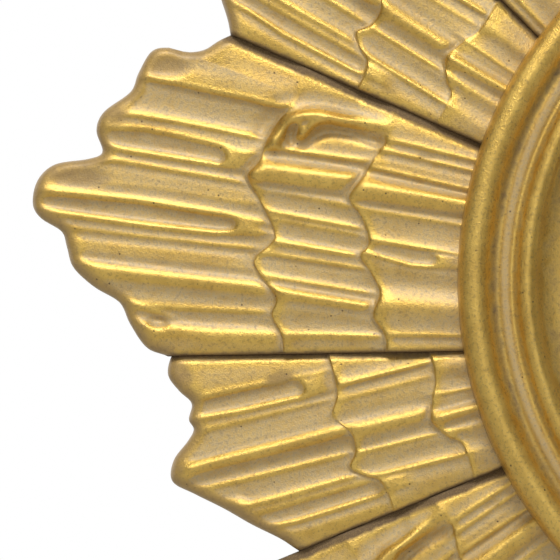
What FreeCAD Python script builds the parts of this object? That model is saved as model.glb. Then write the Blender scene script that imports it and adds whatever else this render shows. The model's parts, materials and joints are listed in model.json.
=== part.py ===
import FreeCAD
import Part

import math
import os

from FreeCAD import Vector

# A gilt sunburst wall clock: sixteen carved rays on a round board, a turned ring over their roots,
# a glazed dial and a quartz movement. Millimetres. X is to the viewer's right, Z is up, and the dial
# faces -Y. Depths are written w: the distance out from the wall, so that a point's Y is -w.
# The origin is on the hand arbor's axis, in the plane of the wall.

# ---------------------------------------------------------------- driving dimensions: the case
BOARD_R = 150.0
BOARD_T = 9.0
BOARD_HOLE_HALF = 30.0
RAY_ROOT_R = 100.0
RAY_LAND_W = 20.0
RAY_LAND_R = 123.0
RAY_TOP_AT_RING = 30.0
RAY_TOP_AT_TIP = 21.0
RAY_TIP_R = 255.0
SEAM_GAP = 0.4
SEAM_REACH = 400.0
TIER_STEP = 1.6

RING_OUT_R = 122.4
RING_REBATE_R = 92.5
RING_LIP_R = 87.5
RING_LIP_BACK_W = 31.5

DIAL_R = 98.0
DIAL_W = (19.0, 20.0)
DIAL_HOLE_R = 4.1
GLASS_R = 92.2
GLASS_W = (29.5, 31.5)
REFLECTOR_R = (88.5, 92.2)

SCREW_R = 1.75
SCREW_PLAY = 0.02
SCREW_HEAD_R = 3.4
SCREW_HEAD_T = 2.2
SCREW_POINT = 3.0
RAY_SCREW_RADII = (129.0, 142.0)
RAY_SCREW_W = (0.3, 17.0)
RING_SCREW_R = 110.0
RING_SCREW_W = (0.3, 29.0)
DIAL_SCREW_COUNT = 4
DIAL_SCREW_R = 95.2
DIAL_SCREW_SHANK_R = 1.1
DIAL_SCREW_HEAD_R = 2.2
DIAL_SCREW_W = (17.6, 25.0)

# ---------------------------------------------------------------- the two ray patterns
# A ray is drawn in its own frame: u runs outwards along its axis from the clock's centre and
# v runs clockwise across it. Its angle is counted clockwise from 9 o'clock.
RAY_PITCH = 45.0
PAIRS = 8
LARGE_AXIS = 5.0
SMALL_AXIS = -17.0
# The seams are straight and pass a little to one side of the centre, so the rays lean clockwise.
LARGE_LOW_SEAM = (-0.8, 19.2)
LARGE_HIGH_SEAM = (24.2, 9.7)
# The rays were set by hand. For each pair: the turn in degrees and the shift outwards in mm of the
# large and of the small ray, and the turn of the large ray's low and high seam.
# The small rays' last tiers also differ in length, by SMALL_REACH.
LARGE_SET = ((0.0, 0.0), (1.0, -2.0), (0.5, 1.5), (-0.5, -3.0), (0.0, 2.0), (0.6, -1.0), (-0.6, 0.0), (-2.1, -6.0))
SMALL_SET = ((0.0, 0.0), (0.9, 6.0), (0.4, -1.0), (-0.4, 3.0), (0.3, 0.0), (0.2, 2.5), (-0.3, -1.5), (-0.8, 1.0))
SMALL_REACH = (0.0, 10.0, 2.0, 0.0, 7.0, 1.0, 4.0, 0.0)
SEAM_SET = ((0.0, 0.0), (1.6, 0.8), (0.6, 0.3), (-0.4, -0.5), (0.2, 0.3), (0.5, 0.2), (-0.4, -0.6), (-1.2, -1.7))

LARGE_EDGE = (
    (204.0, -42.5), (209.5, -39.8), (216.0, -35.3), (220.0, -28.8), (223.8, -24.0), (230.0, -20.8),
    (236.5, -16.5), (239.4, -11.0), (241.0, -6.0), (246.0, -4.0), (250.6, -0.6), (251.3, 6.0),
    (247.0, 13.3), (238.0, 16.3), (232.0, 19.4), (234.2, 25.5), (232.0, 31.5), (226.0, 37.5),
    (223.4, 43.5), (219.0, 50.8), (213.0, 51.3), (206.0, 50.9), (201.0, 54.5), (196.0, 58.6),
    (190.0, 62.0),
)
LARGE_TIERS = (
    ((171.0, -44.0), (173.0, -34.0), (176.0, -21.0), (183.6, -8.5), (178.0, -1.0), (183.5, 9.0),
     (187.0, 16.0), (180.0, 24.0), (178.0, 34.0), (178.0, 60.0)),
    ((140.0, -44.0), (143.0, -30.0), (147.0, -21.0), (152.0, -6.0), (150.0, 2.0), (156.8, 11.5),
     (151.0, 21.0), (147.5, 31.0), (147.5, 50.0)),
)
SMALL_EDGE = (
    (186.0, -33.0), (187.6, -26.0), (192.5, -19.8), (198.5, -14.5), (203.0, -8.8), (210.0, -2.3),
    (215.8, 3.3), (215.8, 7.5), (211.0, 12.3), (206.0, 16.0), (205.8, 21.0), (203.9, 25.2),
    (206.4, 31.0), (208.0, 36.5), (204.0, 42.0),
)
SMALL_TIERS = (
    ((154.0, -32.0), (157.0, -14.0), (163.6, -8.0), (160.6, -1.0), (164.6, 7.5), (161.0, 15.0), (161.0, 34.0)),
    ((130.0, -26.0), (131.0, -9.0), (136.8, -2.5), (133.5, 5.0), (132.0, 12.0), (131.5, 24.0)),
)

# ---------------------------------------------------------------- the movement's layers, as depths w
CASE_W = (4.0, 18.0)
CASE_HALF = 28.0
WALL = 1.2
PARTITION_Z = (-11.0, -9.8)
COVER_W = (4.0, 5.2)
HOUR_W = (15.6, 16.4)
MINUTE_W = (14.2, 15.0)
CENTER_W = (12.8, 13.6)
THIRD_W = (11.4, 12.2)
PLATE_W = (10.2, 11.0)
SECONDS_W = (8.8, 9.6)
INTERMEDIATE_W = (7.4, 8.2)
BUSH_R = 3.9
BUSH_END_W = 23.5
HOUR_TUBE_R = 2.5
HOUR_TUBE_END = 25.2
MINUTE_TUBE_R = 1.6
MINUTE_TUBE_END = 27.2
SECONDS_ARBOR_R = 0.5
SECONDS_ARBOR_END = 28.4
RUNNING = 0.05

HOUR_HAND_W = (24.2, 24.8)
MINUTE_HAND_W = (25.8, 26.4)
SECOND_HAND_W = (27.5, 28.0)
HOUR_HAND_LENGTH = 52.0
MINUTE_HAND_LENGTH = 76.0
SECOND_HAND_LENGTH = 78.0
# The time that the hands show at rest, as angles clockwise from 12: nearly nine minutes past ten.
HOUR_HAND_AT = 304.4
MINUTE_HAND_AT = 52.8
SECOND_HAND_AT = 210.0
THREAD_PLAY = 0.02

# Tooth counts: the motion work turns the hour hand at 1/12 of the minute hand, and the going train
# turns the seconds wheel at 60 times the centre wheel and the rotor at 30 times the seconds wheel.
CANNON_TEETH, MINUTE_WHEEL_TEETH = 10, 30
MINUTE_PINION_TEETH, HOUR_WHEEL_TEETH = 8, 32
KNOB_TEETH = 15
SECONDS_PINION_TEETH, THIRD_WHEEL_TEETH = 8, 60
THIRD_PINION_TEETH, CENTER_WHEEL_TEETH = 8, 64
INTERMEDIATE_PINION_TEETH, SECONDS_WHEEL_TEETH = 10, 60
ROTOR_TEETH, INTERMEDIATE_WHEEL_TEETH = 12, 60

MOTION_MODULE = 0.4
THIRD_MODULE = 0.3
INTERMEDIATE_MODULE = 0.28
ROTOR_MODULE = 0.25


def centre_distance(module, teeth, mate):
    return module * (teeth + mate) / 2


THIRD_DISTANCE = centre_distance(THIRD_MODULE, SECONDS_PINION_TEETH, THIRD_WHEEL_TEETH)
CENTER_MODULE = 2 * THIRD_DISTANCE / (THIRD_PINION_TEETH + CENTER_WHEEL_TEETH)


def step_from(start, distance, degrees):
    """The (x, z) point at a distance and direction from another, counted anticlockwise from +X."""
    a = math.radians(degrees)
    return start[0] + distance * math.cos(a), start[1] + distance * math.sin(a)


TO_THIRD = 150.0
TO_MINUTE_WHEEL = 0.0
TO_KNOB = 0.0
TO_INTERMEDIATE = 75.0
TO_ROTOR = 20.0
CENTRE = (0.0, 0.0)
THIRD_AT = step_from(CENTRE, THIRD_DISTANCE, TO_THIRD)
MINUTE_WHEEL_AT = step_from(CENTRE, centre_distance(MOTION_MODULE, CANNON_TEETH, MINUTE_WHEEL_TEETH), TO_MINUTE_WHEEL)
KNOB_AT = step_from(MINUTE_WHEEL_AT, centre_distance(MOTION_MODULE, MINUTE_WHEEL_TEETH, KNOB_TEETH), TO_KNOB)
INTERMEDIATE_AT = step_from(
    CENTRE, centre_distance(INTERMEDIATE_MODULE, INTERMEDIATE_PINION_TEETH, SECONDS_WHEEL_TEETH), TO_INTERMEDIATE
)
ROTOR_AT = step_from(
    INTERMEDIATE_AT, centre_distance(ROTOR_MODULE, ROTOR_TEETH, INTERMEDIATE_WHEEL_TEETH), TO_ROTOR
)

BATTERY_R = 7.1
BATTERY_HALF = 24.6
BATTERY_Z = -18.9
BATTERY_W = 9.6

HANGER_Z = 80.0
KEYHOLE_R = 4.5
KEYHOLE_SLOT_R = 2.2
KEYHOLE_RISE = 9.0
HANGER_T = 1.2


# ---------------------------------------------------------------- building blocks
def at(x, z, w):
    return Vector(x, -w, z)


OUT = Vector(0, -1, 0)


def disc(radius, w0, w1, centre=CENTRE):
    return Part.makeCylinder(radius, w1 - w0, at(centre[0], centre[1], w0), OUT)


def tube(outer, inner, w0, w1, centre=CENTRE):
    return disc(outer, w0, w1, centre).cut(disc(inner, w0 - 1, w1 + 1, centre))


def cone(r0, r1, w0, w1, centre=CENTRE):
    return Part.makeCone(r0, r1, w1 - w0, at(centre[0], centre[1], w0), OUT)


def block(x0, x1, z0, z1, w0, w1):
    return Part.makeBox(x1 - x0, w1 - w0, z1 - z0, Vector(x0, -w1, z0))


def plate(points, w0, w1):
    """A flat plate between two depths, with straight edges through these (x, z) points."""
    corners = [at(x, z, w0) for x, z in points]
    face = Part.Face(Part.makePolygon(corners + corners[:1]))
    return face.extrude(Vector(0, w0 - w1, 0))


def turned(edges):
    """A solid turned about the arbor's axis from edges drawn with X as the radius and -Y as the depth."""
    face = Part.Face(Part.Wire(edges))
    return face.revolve(Vector(0, 0, 0), Vector(0, 1, 0), 360)


def line(a, b):
    return Part.LineSegment(Vector(*a), Vector(*b)).toShape()


def arc(a, through, b):
    return Part.Arc(Vector(*a), Vector(*through), Vector(*b)).toShape()


def rw(radius, w):
    return (radius, -w, 0)


def cut_all(body, tools):
    for tool in tools:
        body = body.cut(tool)
    return body


def joined(shapes):
    body = shapes[0]
    for shape in shapes[1:]:
        body = body.fuse(shape)
    return body.removeSplitter()


def clock_angle_point(radius, degrees):
    """The (x, z) point at an angle counted clockwise from 9 o'clock."""
    a = math.radians(degrees)
    return -radius * math.cos(a), radius * math.sin(a)


# ---------------------------------------------------------------- rays
def ray_point(uv, w):
    return at(-uv[0], uv[1], w)


def ray_dome(drop):
    """The space below a ray's top: a flat land for the ring, then a shallow cone down to the tips."""
    ring_top, tip_top = RAY_TOP_AT_RING - drop, RAY_TOP_AT_TIP - drop
    corners = [
        (RAY_ROOT_R, BOARD_T), (RAY_TIP_R, BOARD_T), (RAY_TIP_R, tip_top), (RAY_LAND_R, ring_top),
        (RAY_LAND_R, RAY_LAND_W), (RAY_ROOT_R, RAY_LAND_W),
    ]
    points = [rw(*c) for c in corners]
    return turned([line(a, b) for a, b in zip(points, points[1:] + points[:1])])


def ray_blank(edge):
    """A full-depth blank bounded outwards by a smooth curve through the edge's points."""
    curve = Part.BSplineCurve()
    curve.interpolate([ray_point(p, BOARD_T) for p in edge])
    first, last = ray_point(edge[0], BOARD_T), ray_point(edge[-1], BOARD_T)
    low, high = ray_point((80.0, edge[0][1]), BOARD_T), ray_point((80.0, edge[-1][1]), BOARD_T)
    sides = [Part.LineSegment(*pair).toShape() for pair in ((last, high), (high, low), (low, first))]
    face = Part.Face(Part.Wire([curve.toShape()] + sides))
    return face.extrude(OUT * (RAY_TOP_AT_RING - BOARD_T + 2))


def placed_ray(pattern, axis, shift, reach):
    """A ray set at its angle and shift: feathered tiers, each a step above the next one out."""
    layers = []
    for n, outline in enumerate(pattern):
        blank = ray_blank(outline)
        blank.translate(Vector(-shift - (reach if n == 0 else 0.0), 0, 0))
        blank.rotate(Vector(0, 0, 0), Vector(0, 1, 0), axis)
        layers.append(blank.common(ray_dome(TIER_STEP * (len(pattern) - 1 - n))))
    return joined(layers)


def beyond_seam(seam, turn, side):
    """All that lies past a seam on one side of it (1 clockwise, -1 anticlockwise), and half the gap."""
    angle, offset = seam
    low, high = (0.0, SEAM_REACH) if side > 0 else (-SEAM_REACH, 0.0)
    beyond = block(-SEAM_REACH, 0.0, low, high, 0.0, RAY_TOP_AT_RING + 1)
    beyond.translate(Vector(0, 0, -offset - side * SEAM_GAP / 2))
    beyond.rotate(Vector(0, 0, 0), Vector(0, 1, 0), angle + turn)
    return beyond


def trimmed_ray(pattern, axis, setting, low_seam, high_seam, screw_axis):
    """A ray set at its place, cut to its two seams and drilled for its two screws."""
    turn, shift, reach = setting
    ray = placed_ray(pattern, axis + turn, shift, reach).cut(low_seam).cut(high_seam)
    return cut_all(ray, [disc(SCREW_R + SCREW_PLAY, 0, RAY_SCREW_W[1], p) for p in ray_screw_places(screw_axis)])


def make_rays():
    """The rays, clockwise from 9 o'clock: each small ray lies anticlockwise of its large ray."""
    large, small = (LARGE_EDGE,) + LARGE_TIERS, (SMALL_EDGE,) + SMALL_TIERS
    rays = {}
    for k, ring_screw in enumerate(ring_screw_places()):
        turn = RAY_PITCH * k
        low, high = turn + SEAM_SET[k][0], turn + SEAM_SET[k][1]
        high_before = turn - RAY_PITCH + SEAM_SET[k - 1][1]
        ray = trimmed_ray(
            large, LARGE_AXIS + turn, (*LARGE_SET[k], 0.0),
            beyond_seam(LARGE_LOW_SEAM, low, -1), beyond_seam(LARGE_HIGH_SEAM, high, 1), LARGE_AXIS + turn,
        )
        rays[f"large_ray_{k + 1}"] = ray.cut(disc(SCREW_R + SCREW_PLAY, 0, RAY_LAND_W + 1, ring_screw))
        rays[f"small_ray_{k + 1}"] = trimmed_ray(
            small, SMALL_AXIS + turn, (*SMALL_SET[k], SMALL_REACH[k]),
            beyond_seam(LARGE_HIGH_SEAM, high_before, -1), beyond_seam(LARGE_LOW_SEAM, low, 1), SMALL_AXIS + turn,
        )
    return rays


# ---------------------------------------------------------------- board, ring, screws
def ray_screw_places(degrees):
    return [clock_angle_point(r, degrees) for r in RAY_SCREW_RADII]


def ring_screw_places():
    return [clock_angle_point(RING_SCREW_R, LARGE_AXIS + RAY_PITCH * k) for k in range(PAIRS)]


def all_ray_screw_places():
    axes = [a + RAY_PITCH * k for k in range(PAIRS) for a in (LARGE_AXIS, SMALL_AXIS)]
    return [p for a in axes for p in ray_screw_places(a)]


def countersunk_screw(place, w0, w1):
    """A countersunk wood screw with a cross recess, its head towards the wall."""
    head = cone(SCREW_HEAD_R, SCREW_R, w0, w0 + SCREW_HEAD_T, place)
    shank = disc(SCREW_R, w0 + SCREW_HEAD_T, w1 - SCREW_POINT, place)
    tip = cone(SCREW_R, 0.3, w1 - SCREW_POINT, w1, place)
    screw = head.fuse(shank).fuse(tip)
    x, z = place
    across = block(x - 2, x + 2, z - 0.4, z + 0.4, w0 - 0.1, w0 + 1.1)
    upright = block(x - 0.4, x + 0.4, z - 2, z + 2, w0 - 0.1, w0 + 1.1)
    return screw.cut(across).cut(upright)


def countersink(place, w0):
    """The hole that a countersunk screw needs through the board."""
    x0 = SCREW_HEAD_R + 0.1
    return [
        disc(SCREW_R + 0.1, -1, BOARD_T + 1, place),
        cone(x0, SCREW_R + 0.1, w0, w0 + SCREW_HEAD_T, place),
        disc(x0, -1, w0, place),
    ]


def make_board():
    board = disc(BOARD_R, 0, BOARD_T)
    half = BOARD_HOLE_HALF
    board = board.cut(block(-half, half, -half, half, -1, BOARD_T + 1))
    for place in all_ray_screw_places() + ring_screw_places():
        board = cut_all(board, countersink(place, RAY_SCREW_W[0]))
    plate_pocket = block(-20.2, 20.2, HANGER_Z - 8.2, HANGER_Z + 12.2, -1, HANGER_T)
    head_pocket = block(-6.0, 6.0, HANGER_Z - 6.0, HANGER_Z + 6.0 + KEYHOLE_RISE - 4, -1, 7.0)
    board = board.cut(plate_pocket).cut(head_pocket)
    return cut_all(board, [disc(1.27, 0, 6.1, p) for p in hanger_screw_places()])


def hanger_screw_places():
    return [(-14.0, HANGER_Z + 2.0), (14.0, HANGER_Z + 2.0)]


def make_hanger():
    """A steel keyhole plate let into the back of the board, and its two screws."""
    body = block(-20.0, 20.0, HANGER_Z - 8.0, HANGER_Z + 12.0, 0, HANGER_T)
    body = body.cut(disc(KEYHOLE_R, -1, 2, (0, HANGER_Z)))
    body = body.cut(block(-KEYHOLE_SLOT_R, KEYHOLE_SLOT_R, HANGER_Z, HANGER_Z + KEYHOLE_RISE - 2, -1, 2))
    body = body.cut(disc(KEYHOLE_SLOT_R, -1, 2, (0, HANGER_Z + KEYHOLE_RISE - 2)))
    screws = []
    for place in hanger_screw_places():
        body = body.cut(cone(2.72, 1.3, 0.2, HANGER_T + 0.001, place)).cut(disc(2.72, -1, 0.2, place))
        body = body.cut(disc(1.3, -1, 2, place))
        head = cone(2.5, 1.25, 0.2, 1.15, place)
        screws.append(head.fuse(disc(1.25, 1.15, 6.0, place)))
    return body, Part.makeCompound(screws)


def make_ring():
    """The turned ring: from outside in, a round bead, a quirk, a fillet, a second bead and a cove."""
    edges = [
        line(rw(RING_REBATE_R, RAY_LAND_W), rw(RING_OUT_R, RAY_LAND_W)),
        line(rw(RING_OUT_R, RAY_LAND_W), rw(RING_OUT_R, 36.5)),
        arc(rw(RING_OUT_R, 36.5), rw(117.3, 41.6), rw(112.2, 36.5)),
        arc(rw(112.2, 36.5), rw(111.2, 34.9), rw(109.9, 36.6)),
        line(rw(109.9, 36.6), rw(109.5, 37.6)),
        line(rw(109.5, 37.6), rw(108.4, 37.8)),
        arc(rw(108.4, 37.8), rw(107.4, 36.2), rw(106.4, 36.4)),
        arc(rw(106.4, 36.4), rw(102.3, 40.5), rw(98.2, 36.4)),
        arc(rw(98.2, 36.4), rw(94.0, 33.4), rw(RING_LIP_R, 32.6)),
        line(rw(RING_LIP_R, 32.6), rw(RING_LIP_R, RING_LIP_BACK_W)),
        line(rw(RING_LIP_R, RING_LIP_BACK_W), rw(RING_REBATE_R, RING_LIP_BACK_W)),
        line(rw(RING_REBATE_R, RING_LIP_BACK_W), rw(RING_REBATE_R, RAY_LAND_W)),
    ]
    ring = turned(edges)
    holes = [disc(SCREW_R + SCREW_PLAY, RAY_LAND_W - 1, RING_SCREW_W[1] + 0.5, p) for p in ring_screw_places()]
    dial_hole_r = DIAL_SCREW_SHANK_R + SCREW_PLAY
    holes += [disc(dial_hole_r, RAY_LAND_W - 1, DIAL_SCREW_W[1] + 0.3, p) for p in dial_screw_places()]
    return cut_all(ring, holes)


# ---------------------------------------------------------------- dial, glass, hands
def dial_screw_places():
    step = 360.0 / DIAL_SCREW_COUNT
    return [clock_angle_point(DIAL_SCREW_R, step * (k + 0.5)) for k in range(DIAL_SCREW_COUNT)]


def make_dial():
    dial = disc(DIAL_R, *DIAL_W).cut(disc(DIAL_HOLE_R, 0, 30))
    return cut_all(dial, [disc(DIAL_SCREW_SHANK_R + 0.1, 0, 30, p) for p in dial_screw_places()])


def make_dial_screws():
    screws = []
    for place in dial_screw_places():
        head = disc(DIAL_SCREW_HEAD_R, DIAL_SCREW_W[0], DIAL_W[0], place)
        screw = head.fuse(disc(DIAL_SCREW_SHANK_R, DIAL_W[0], DIAL_SCREW_W[1], place))
        x, z = place
        screws.append(screw.cut(block(x - 3, x + 3, z - 0.3, z + 0.3, 0, DIAL_SCREW_W[0] + 0.6)))
    return Part.makeCompound(screws)


def turned_clockwise(shape, degrees):
    shape.rotate(Vector(0, 0, 0), Vector(0, 1, 0), degrees)
    return shape


def hand_blade(outline, w, hole_r, boss_r):
    """A flat hand that points at 12: half an outline of (half width, distance up), mirrored, on a round boss."""
    right = [(x, z) for x, z in outline]
    left = [(-x, z) for x, z in reversed(outline) if x > 0]
    return plate(right + left, *w).fuse(disc(boss_r, *w)).cut(disc(hole_r, 0, 60)).removeSplitter()


def make_hour_hand():
    """A spade hand: a slim stem, a heart-shaped leaf and a fine point."""
    outline = [
        (1.6, 0), (1.3, 26), (1.4, 29.5), (5.4, 31.5), (6.6, 35), (5.8, 38.5), (3.0, 42.5), (1.2, 45),
        (0.9, 46), (0.0, HOUR_HAND_LENGTH),
    ]
    return turned_clockwise(hand_blade(outline, HOUR_HAND_W, HOUR_TUBE_R + THREAD_PLAY, 5.0), HOUR_HAND_AT)


def make_minute_hand():
    outline = [
        (1.3, 0), (1.0, 50), (1.2, 54), (3.6, 56), (4.4, 59), (3.7, 62.5), (1.8, 66.5), (0.8, 69),
        (0.0, MINUTE_HAND_LENGTH),
    ]
    return turned_clockwise(hand_blade(outline, MINUTE_HAND_W, MINUTE_TUBE_R + THREAD_PLAY, 3.8), MINUTE_HAND_AT)


def make_second_hand():
    outline = [(1.3, -22), (1.3, -14), (0.5, -10), (0.45, 0), (0.25, SECOND_HAND_LENGTH)]
    right = outline
    left = [(-x, z) for x, z in reversed(outline)]
    blade = plate(right + left, *SECOND_HAND_W)
    hub = disc(2.2, *SECOND_HAND_W).fuse(disc(1.1, SECOND_HAND_W[0], SECONDS_ARBOR_END))
    hand = blade.fuse(hub).cut(disc(SECONDS_ARBOR_R + THREAD_PLAY, 0, 60)).removeSplitter()
    return turned_clockwise(hand, SECOND_HAND_AT)


# ---------------------------------------------------------------- gears
def toothed(teeth, module, centre, w, phase, pinion=False):
    """A wheel or pinion with clock teeth. phase is the direction of one tooth, anticlockwise from +X."""
    pitch_r, pitch = module * teeth / 2, 360.0 / teeth
    at_pitch, at_tip, addendum = (0.37, 0.16, 0.7) if pinion else (0.40, 0.15, 0.8)
    profile = (
        (pitch_r - 1.15 * module, at_pitch * 1.05),
        (pitch_r, at_pitch),
        (pitch_r + 0.45 * addendum * module, (at_pitch + at_tip) * 0.58),
        (pitch_r + addendum * module, at_tip),
    )
    points = []
    for n in range(teeth):
        middle = phase + n * pitch
        for radius, share in profile:
            points.append(step_from(centre, radius, middle - share * pitch / 2))
        for radius, share in reversed(profile):
            points.append(step_from(centre, radius, middle + share * pitch / 2))
    return plate(points, *w)


def meshing_phase(phase, teeth, direction, mate_teeth):
    """The phase of the mate that lies in a direction from a wheel, so that its gap faces the tooth."""
    lead = (phase - direction) % (360.0 / teeth)
    return direction + 180.0 - lead * teeth / mate_teeth + 180.0 / mate_teeth


def spoked(wheel, teeth, module, centre, w, hub_r):
    """The wheel with four round lightening holes."""
    rim_r = module * teeth / 2 - 2.2 * module
    hole_r = (rim_r - hub_r) / 2 * 0.82
    places = [step_from(centre, (rim_r + hub_r) / 2, 45 + 90 * n) for n in range(4)]
    return cut_all(wheel, [disc(hole_r, 0, 30, p) for p in places])


CANNON_PHASE = TO_MINUTE_WHEEL
MINUTE_WHEEL_PHASE = meshing_phase(CANNON_PHASE, CANNON_TEETH, TO_MINUTE_WHEEL, MINUTE_WHEEL_TEETH)
KNOB_PHASE = meshing_phase(MINUTE_WHEEL_PHASE, MINUTE_WHEEL_TEETH, TO_KNOB, KNOB_TEETH)
HOUR_PHASE = TO_MINUTE_WHEEL
MINUTE_PINION_PHASE = meshing_phase(HOUR_PHASE, HOUR_WHEEL_TEETH, TO_MINUTE_WHEEL, MINUTE_PINION_TEETH)
SECONDS_PINION_PHASE = TO_THIRD
THIRD_WHEEL_PHASE = meshing_phase(SECONDS_PINION_PHASE, SECONDS_PINION_TEETH, TO_THIRD, THIRD_WHEEL_TEETH)
CENTER_PHASE = TO_THIRD
THIRD_PINION_PHASE = meshing_phase(CENTER_PHASE, CENTER_WHEEL_TEETH, TO_THIRD, THIRD_PINION_TEETH)
SECONDS_WHEEL_PHASE = TO_INTERMEDIATE
INTERMEDIATE_PINION_PHASE = meshing_phase(
    SECONDS_WHEEL_PHASE, SECONDS_WHEEL_TEETH, TO_INTERMEDIATE, INTERMEDIATE_PINION_TEETH
)
INTERMEDIATE_WHEEL_PHASE = TO_ROTOR
ROTOR_PHASE = meshing_phase(INTERMEDIATE_WHEEL_PHASE, INTERMEDIATE_WHEEL_TEETH, TO_ROTOR, ROTOR_TEETH)


def make_minute_tube():
    pinion = toothed(CANNON_TEETH, MOTION_MODULE, CENTRE, MINUTE_W, CANNON_PHASE, pinion=True)
    barrel = disc(MINUTE_TUBE_R, CENTER_W[0] - 0.3, MINUTE_TUBE_END)
    return pinion.fuse(barrel).cut(disc(SECONDS_ARBOR_R + RUNNING, 0, 60))


def make_hour_wheel():
    wheel = toothed(HOUR_WHEEL_TEETH, MOTION_MODULE, CENTRE, HOUR_W, HOUR_PHASE)
    barrel = disc(HOUR_TUBE_R, HOUR_W[0], HOUR_TUBE_END)
    return wheel.fuse(barrel).cut(disc(MINUTE_TUBE_R + RUNNING, 0, 60))


def make_minute_wheel():
    wheel = toothed(MINUTE_WHEEL_TEETH, MOTION_MODULE, MINUTE_WHEEL_AT, MINUTE_W, MINUTE_WHEEL_PHASE)
    pinion = toothed(
        MINUTE_PINION_TEETH, MOTION_MODULE, MINUTE_WHEEL_AT, (MINUTE_W[1], HOUR_W[1]), MINUTE_PINION_PHASE, pinion=True
    )
    return wheel.fuse(pinion).cut(disc(POST_R + RUNNING, 0, 60, MINUTE_WHEEL_AT))


def make_center_wheel():
    wheel = toothed(CENTER_WHEEL_TEETH, CENTER_MODULE, CENTRE, CENTER_W, CENTER_PHASE)
    wheel = spoked(wheel, CENTER_WHEEL_TEETH, CENTER_MODULE, CENTRE, CENTER_W, 2.6)
    return wheel.cut(disc(MINUTE_TUBE_R + RUNNING, 0, 60))


def make_third_wheel():
    wheel = toothed(THIRD_WHEEL_TEETH, THIRD_MODULE, THIRD_AT, THIRD_W, THIRD_WHEEL_PHASE)
    wheel = spoked(wheel, THIRD_WHEEL_TEETH, THIRD_MODULE, THIRD_AT, THIRD_W, 1.6)
    pinion = toothed(
        THIRD_PINION_TEETH, CENTER_MODULE, THIRD_AT, (THIRD_W[1], CENTER_W[1]), THIRD_PINION_PHASE, pinion=True
    )
    arbor = disc(PIVOT_R, PLATE_W[0], CENTER_W[1] + 1.4, THIRD_AT)
    return wheel.fuse(pinion).fuse(arbor)


def make_seconds_wheel():
    wheel = toothed(SECONDS_WHEEL_TEETH, INTERMEDIATE_MODULE, CENTRE, SECONDS_W, SECONDS_WHEEL_PHASE)
    wheel = spoked(wheel, SECONDS_WHEEL_TEETH, INTERMEDIATE_MODULE, CENTRE, SECONDS_W, 1.8)
    pinion = toothed(SECONDS_PINION_TEETH, THIRD_MODULE, CENTRE, THIRD_W, SECONDS_PINION_PHASE, pinion=True)
    arbor = disc(SECONDS_ARBOR_R, COVER_W[1] + 0.4, SECONDS_ARBOR_END)
    return wheel.fuse(pinion).fuse(arbor)


def make_intermediate_wheel():
    wheel = toothed(
        INTERMEDIATE_WHEEL_TEETH, ROTOR_MODULE, INTERMEDIATE_AT, INTERMEDIATE_W, INTERMEDIATE_WHEEL_PHASE
    )
    wheel = spoked(wheel, INTERMEDIATE_WHEEL_TEETH, ROTOR_MODULE, INTERMEDIATE_AT, INTERMEDIATE_W, 1.5)
    pinion = toothed(
        INTERMEDIATE_PINION_TEETH, INTERMEDIATE_MODULE, INTERMEDIATE_AT, (INTERMEDIATE_W[1], SECONDS_W[1]),
        INTERMEDIATE_PINION_PHASE, pinion=True,
    )
    arbor = disc(PIVOT_R, COVER_W[1] + 0.4, PLATE_W[1], INTERMEDIATE_AT)
    return wheel.fuse(pinion).fuse(arbor)


MAGNET_W = (8.3, 9.9)
MAGNET_R = 2.6


def make_rotor():
    """The stepping rotor: a moulded pinion on its arbor, and the ring magnet pressed on it."""
    pinion = toothed(ROTOR_TEETH, ROTOR_MODULE, ROTOR_AT, INTERMEDIATE_W, ROTOR_PHASE, pinion=True)
    arbor = disc(PIVOT_R, COVER_W[1] + 0.4, PLATE_W[1], ROTOR_AT)
    return pinion.fuse(arbor), tube(MAGNET_R, PIVOT_R, *MAGNET_W, centre=ROTOR_AT)


KNOB_SHAFT_R = 1.2
KNOB_R = 4.6
KNOB_W = (0.8, 3.6)


def make_setting_knob():
    """The hand-setting knob on the back, its shaft, and the pinion that turns the minute wheel."""
    pinion = toothed(KNOB_TEETH, MOTION_MODULE, KNOB_AT, MINUTE_W, KNOB_PHASE, pinion=True)
    shaft = disc(KNOB_SHAFT_R, KNOB_W[0], MINUTE_W[1] + 1.4, KNOB_AT)
    knob = disc(KNOB_R, *KNOB_W, centre=KNOB_AT)
    grips = [disc(0.45, 0, KNOB_W[1] + 0.1, step_from(KNOB_AT, KNOB_R, 15 * n)) for n in range(24)]
    return cut_all(knob, grips).fuse(shaft).fuse(pinion)


# ---------------------------------------------------------------- the movement's case and fixed parts
PIVOT_R = 0.4
POST_R = 0.75
PIVOT_CLEARANCE = 0.05
BEARING_BOSS_R = 1.4


def make_case_front():
    """The moulded case: gear chamber above, battery bay below, and the threaded bush for the dial."""
    half, inner = CASE_HALF, CASE_HALF - WALL
    floor = CASE_W[1] - WALL
    case = block(-half, half, -half, half, *CASE_W)
    case = case.cut(block(-inner, inner, PARTITION_Z[1], inner, CASE_W[0] - 1, floor))
    case = case.cut(block(-inner, inner, -inner, PARTITION_Z[0], CASE_W[0] - 1, floor))
    case = case.fuse(disc(BUSH_R, floor, BUSH_END_W))
    case = case.cut(disc(HOUR_TUBE_R + RUNNING, 0, 60))
    post = disc(POST_R, MINUTE_W[0] - 0.4, floor, MINUTE_WHEEL_AT)
    boss_end = CENTER_W[1] + 0.4
    third_boss = tube(BEARING_BOSS_R, PIVOT_R + PIVOT_CLEARANCE, boss_end, floor, centre=THIRD_AT)
    knob_boss = tube(2.2, KNOB_SHAFT_R + RUNNING, MINUTE_W[1] + 0.4, floor, centre=KNOB_AT)
    pillars = [disc(PILLAR_R, PLATE_W[1], floor, p) for p in PILLARS]
    slots = [(-inner, -inner + 0.5), (inner - 0.5, inner)]
    notches = [block(x0, x1, PARTITION_Z[0] - 1, PARTITION_Z[1] + 1, CASE_W[0] - 1, 9.0) for x0, x1 in slots]
    return cut_all(joined([case, post, third_boss, knob_boss] + pillars), notches)


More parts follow.
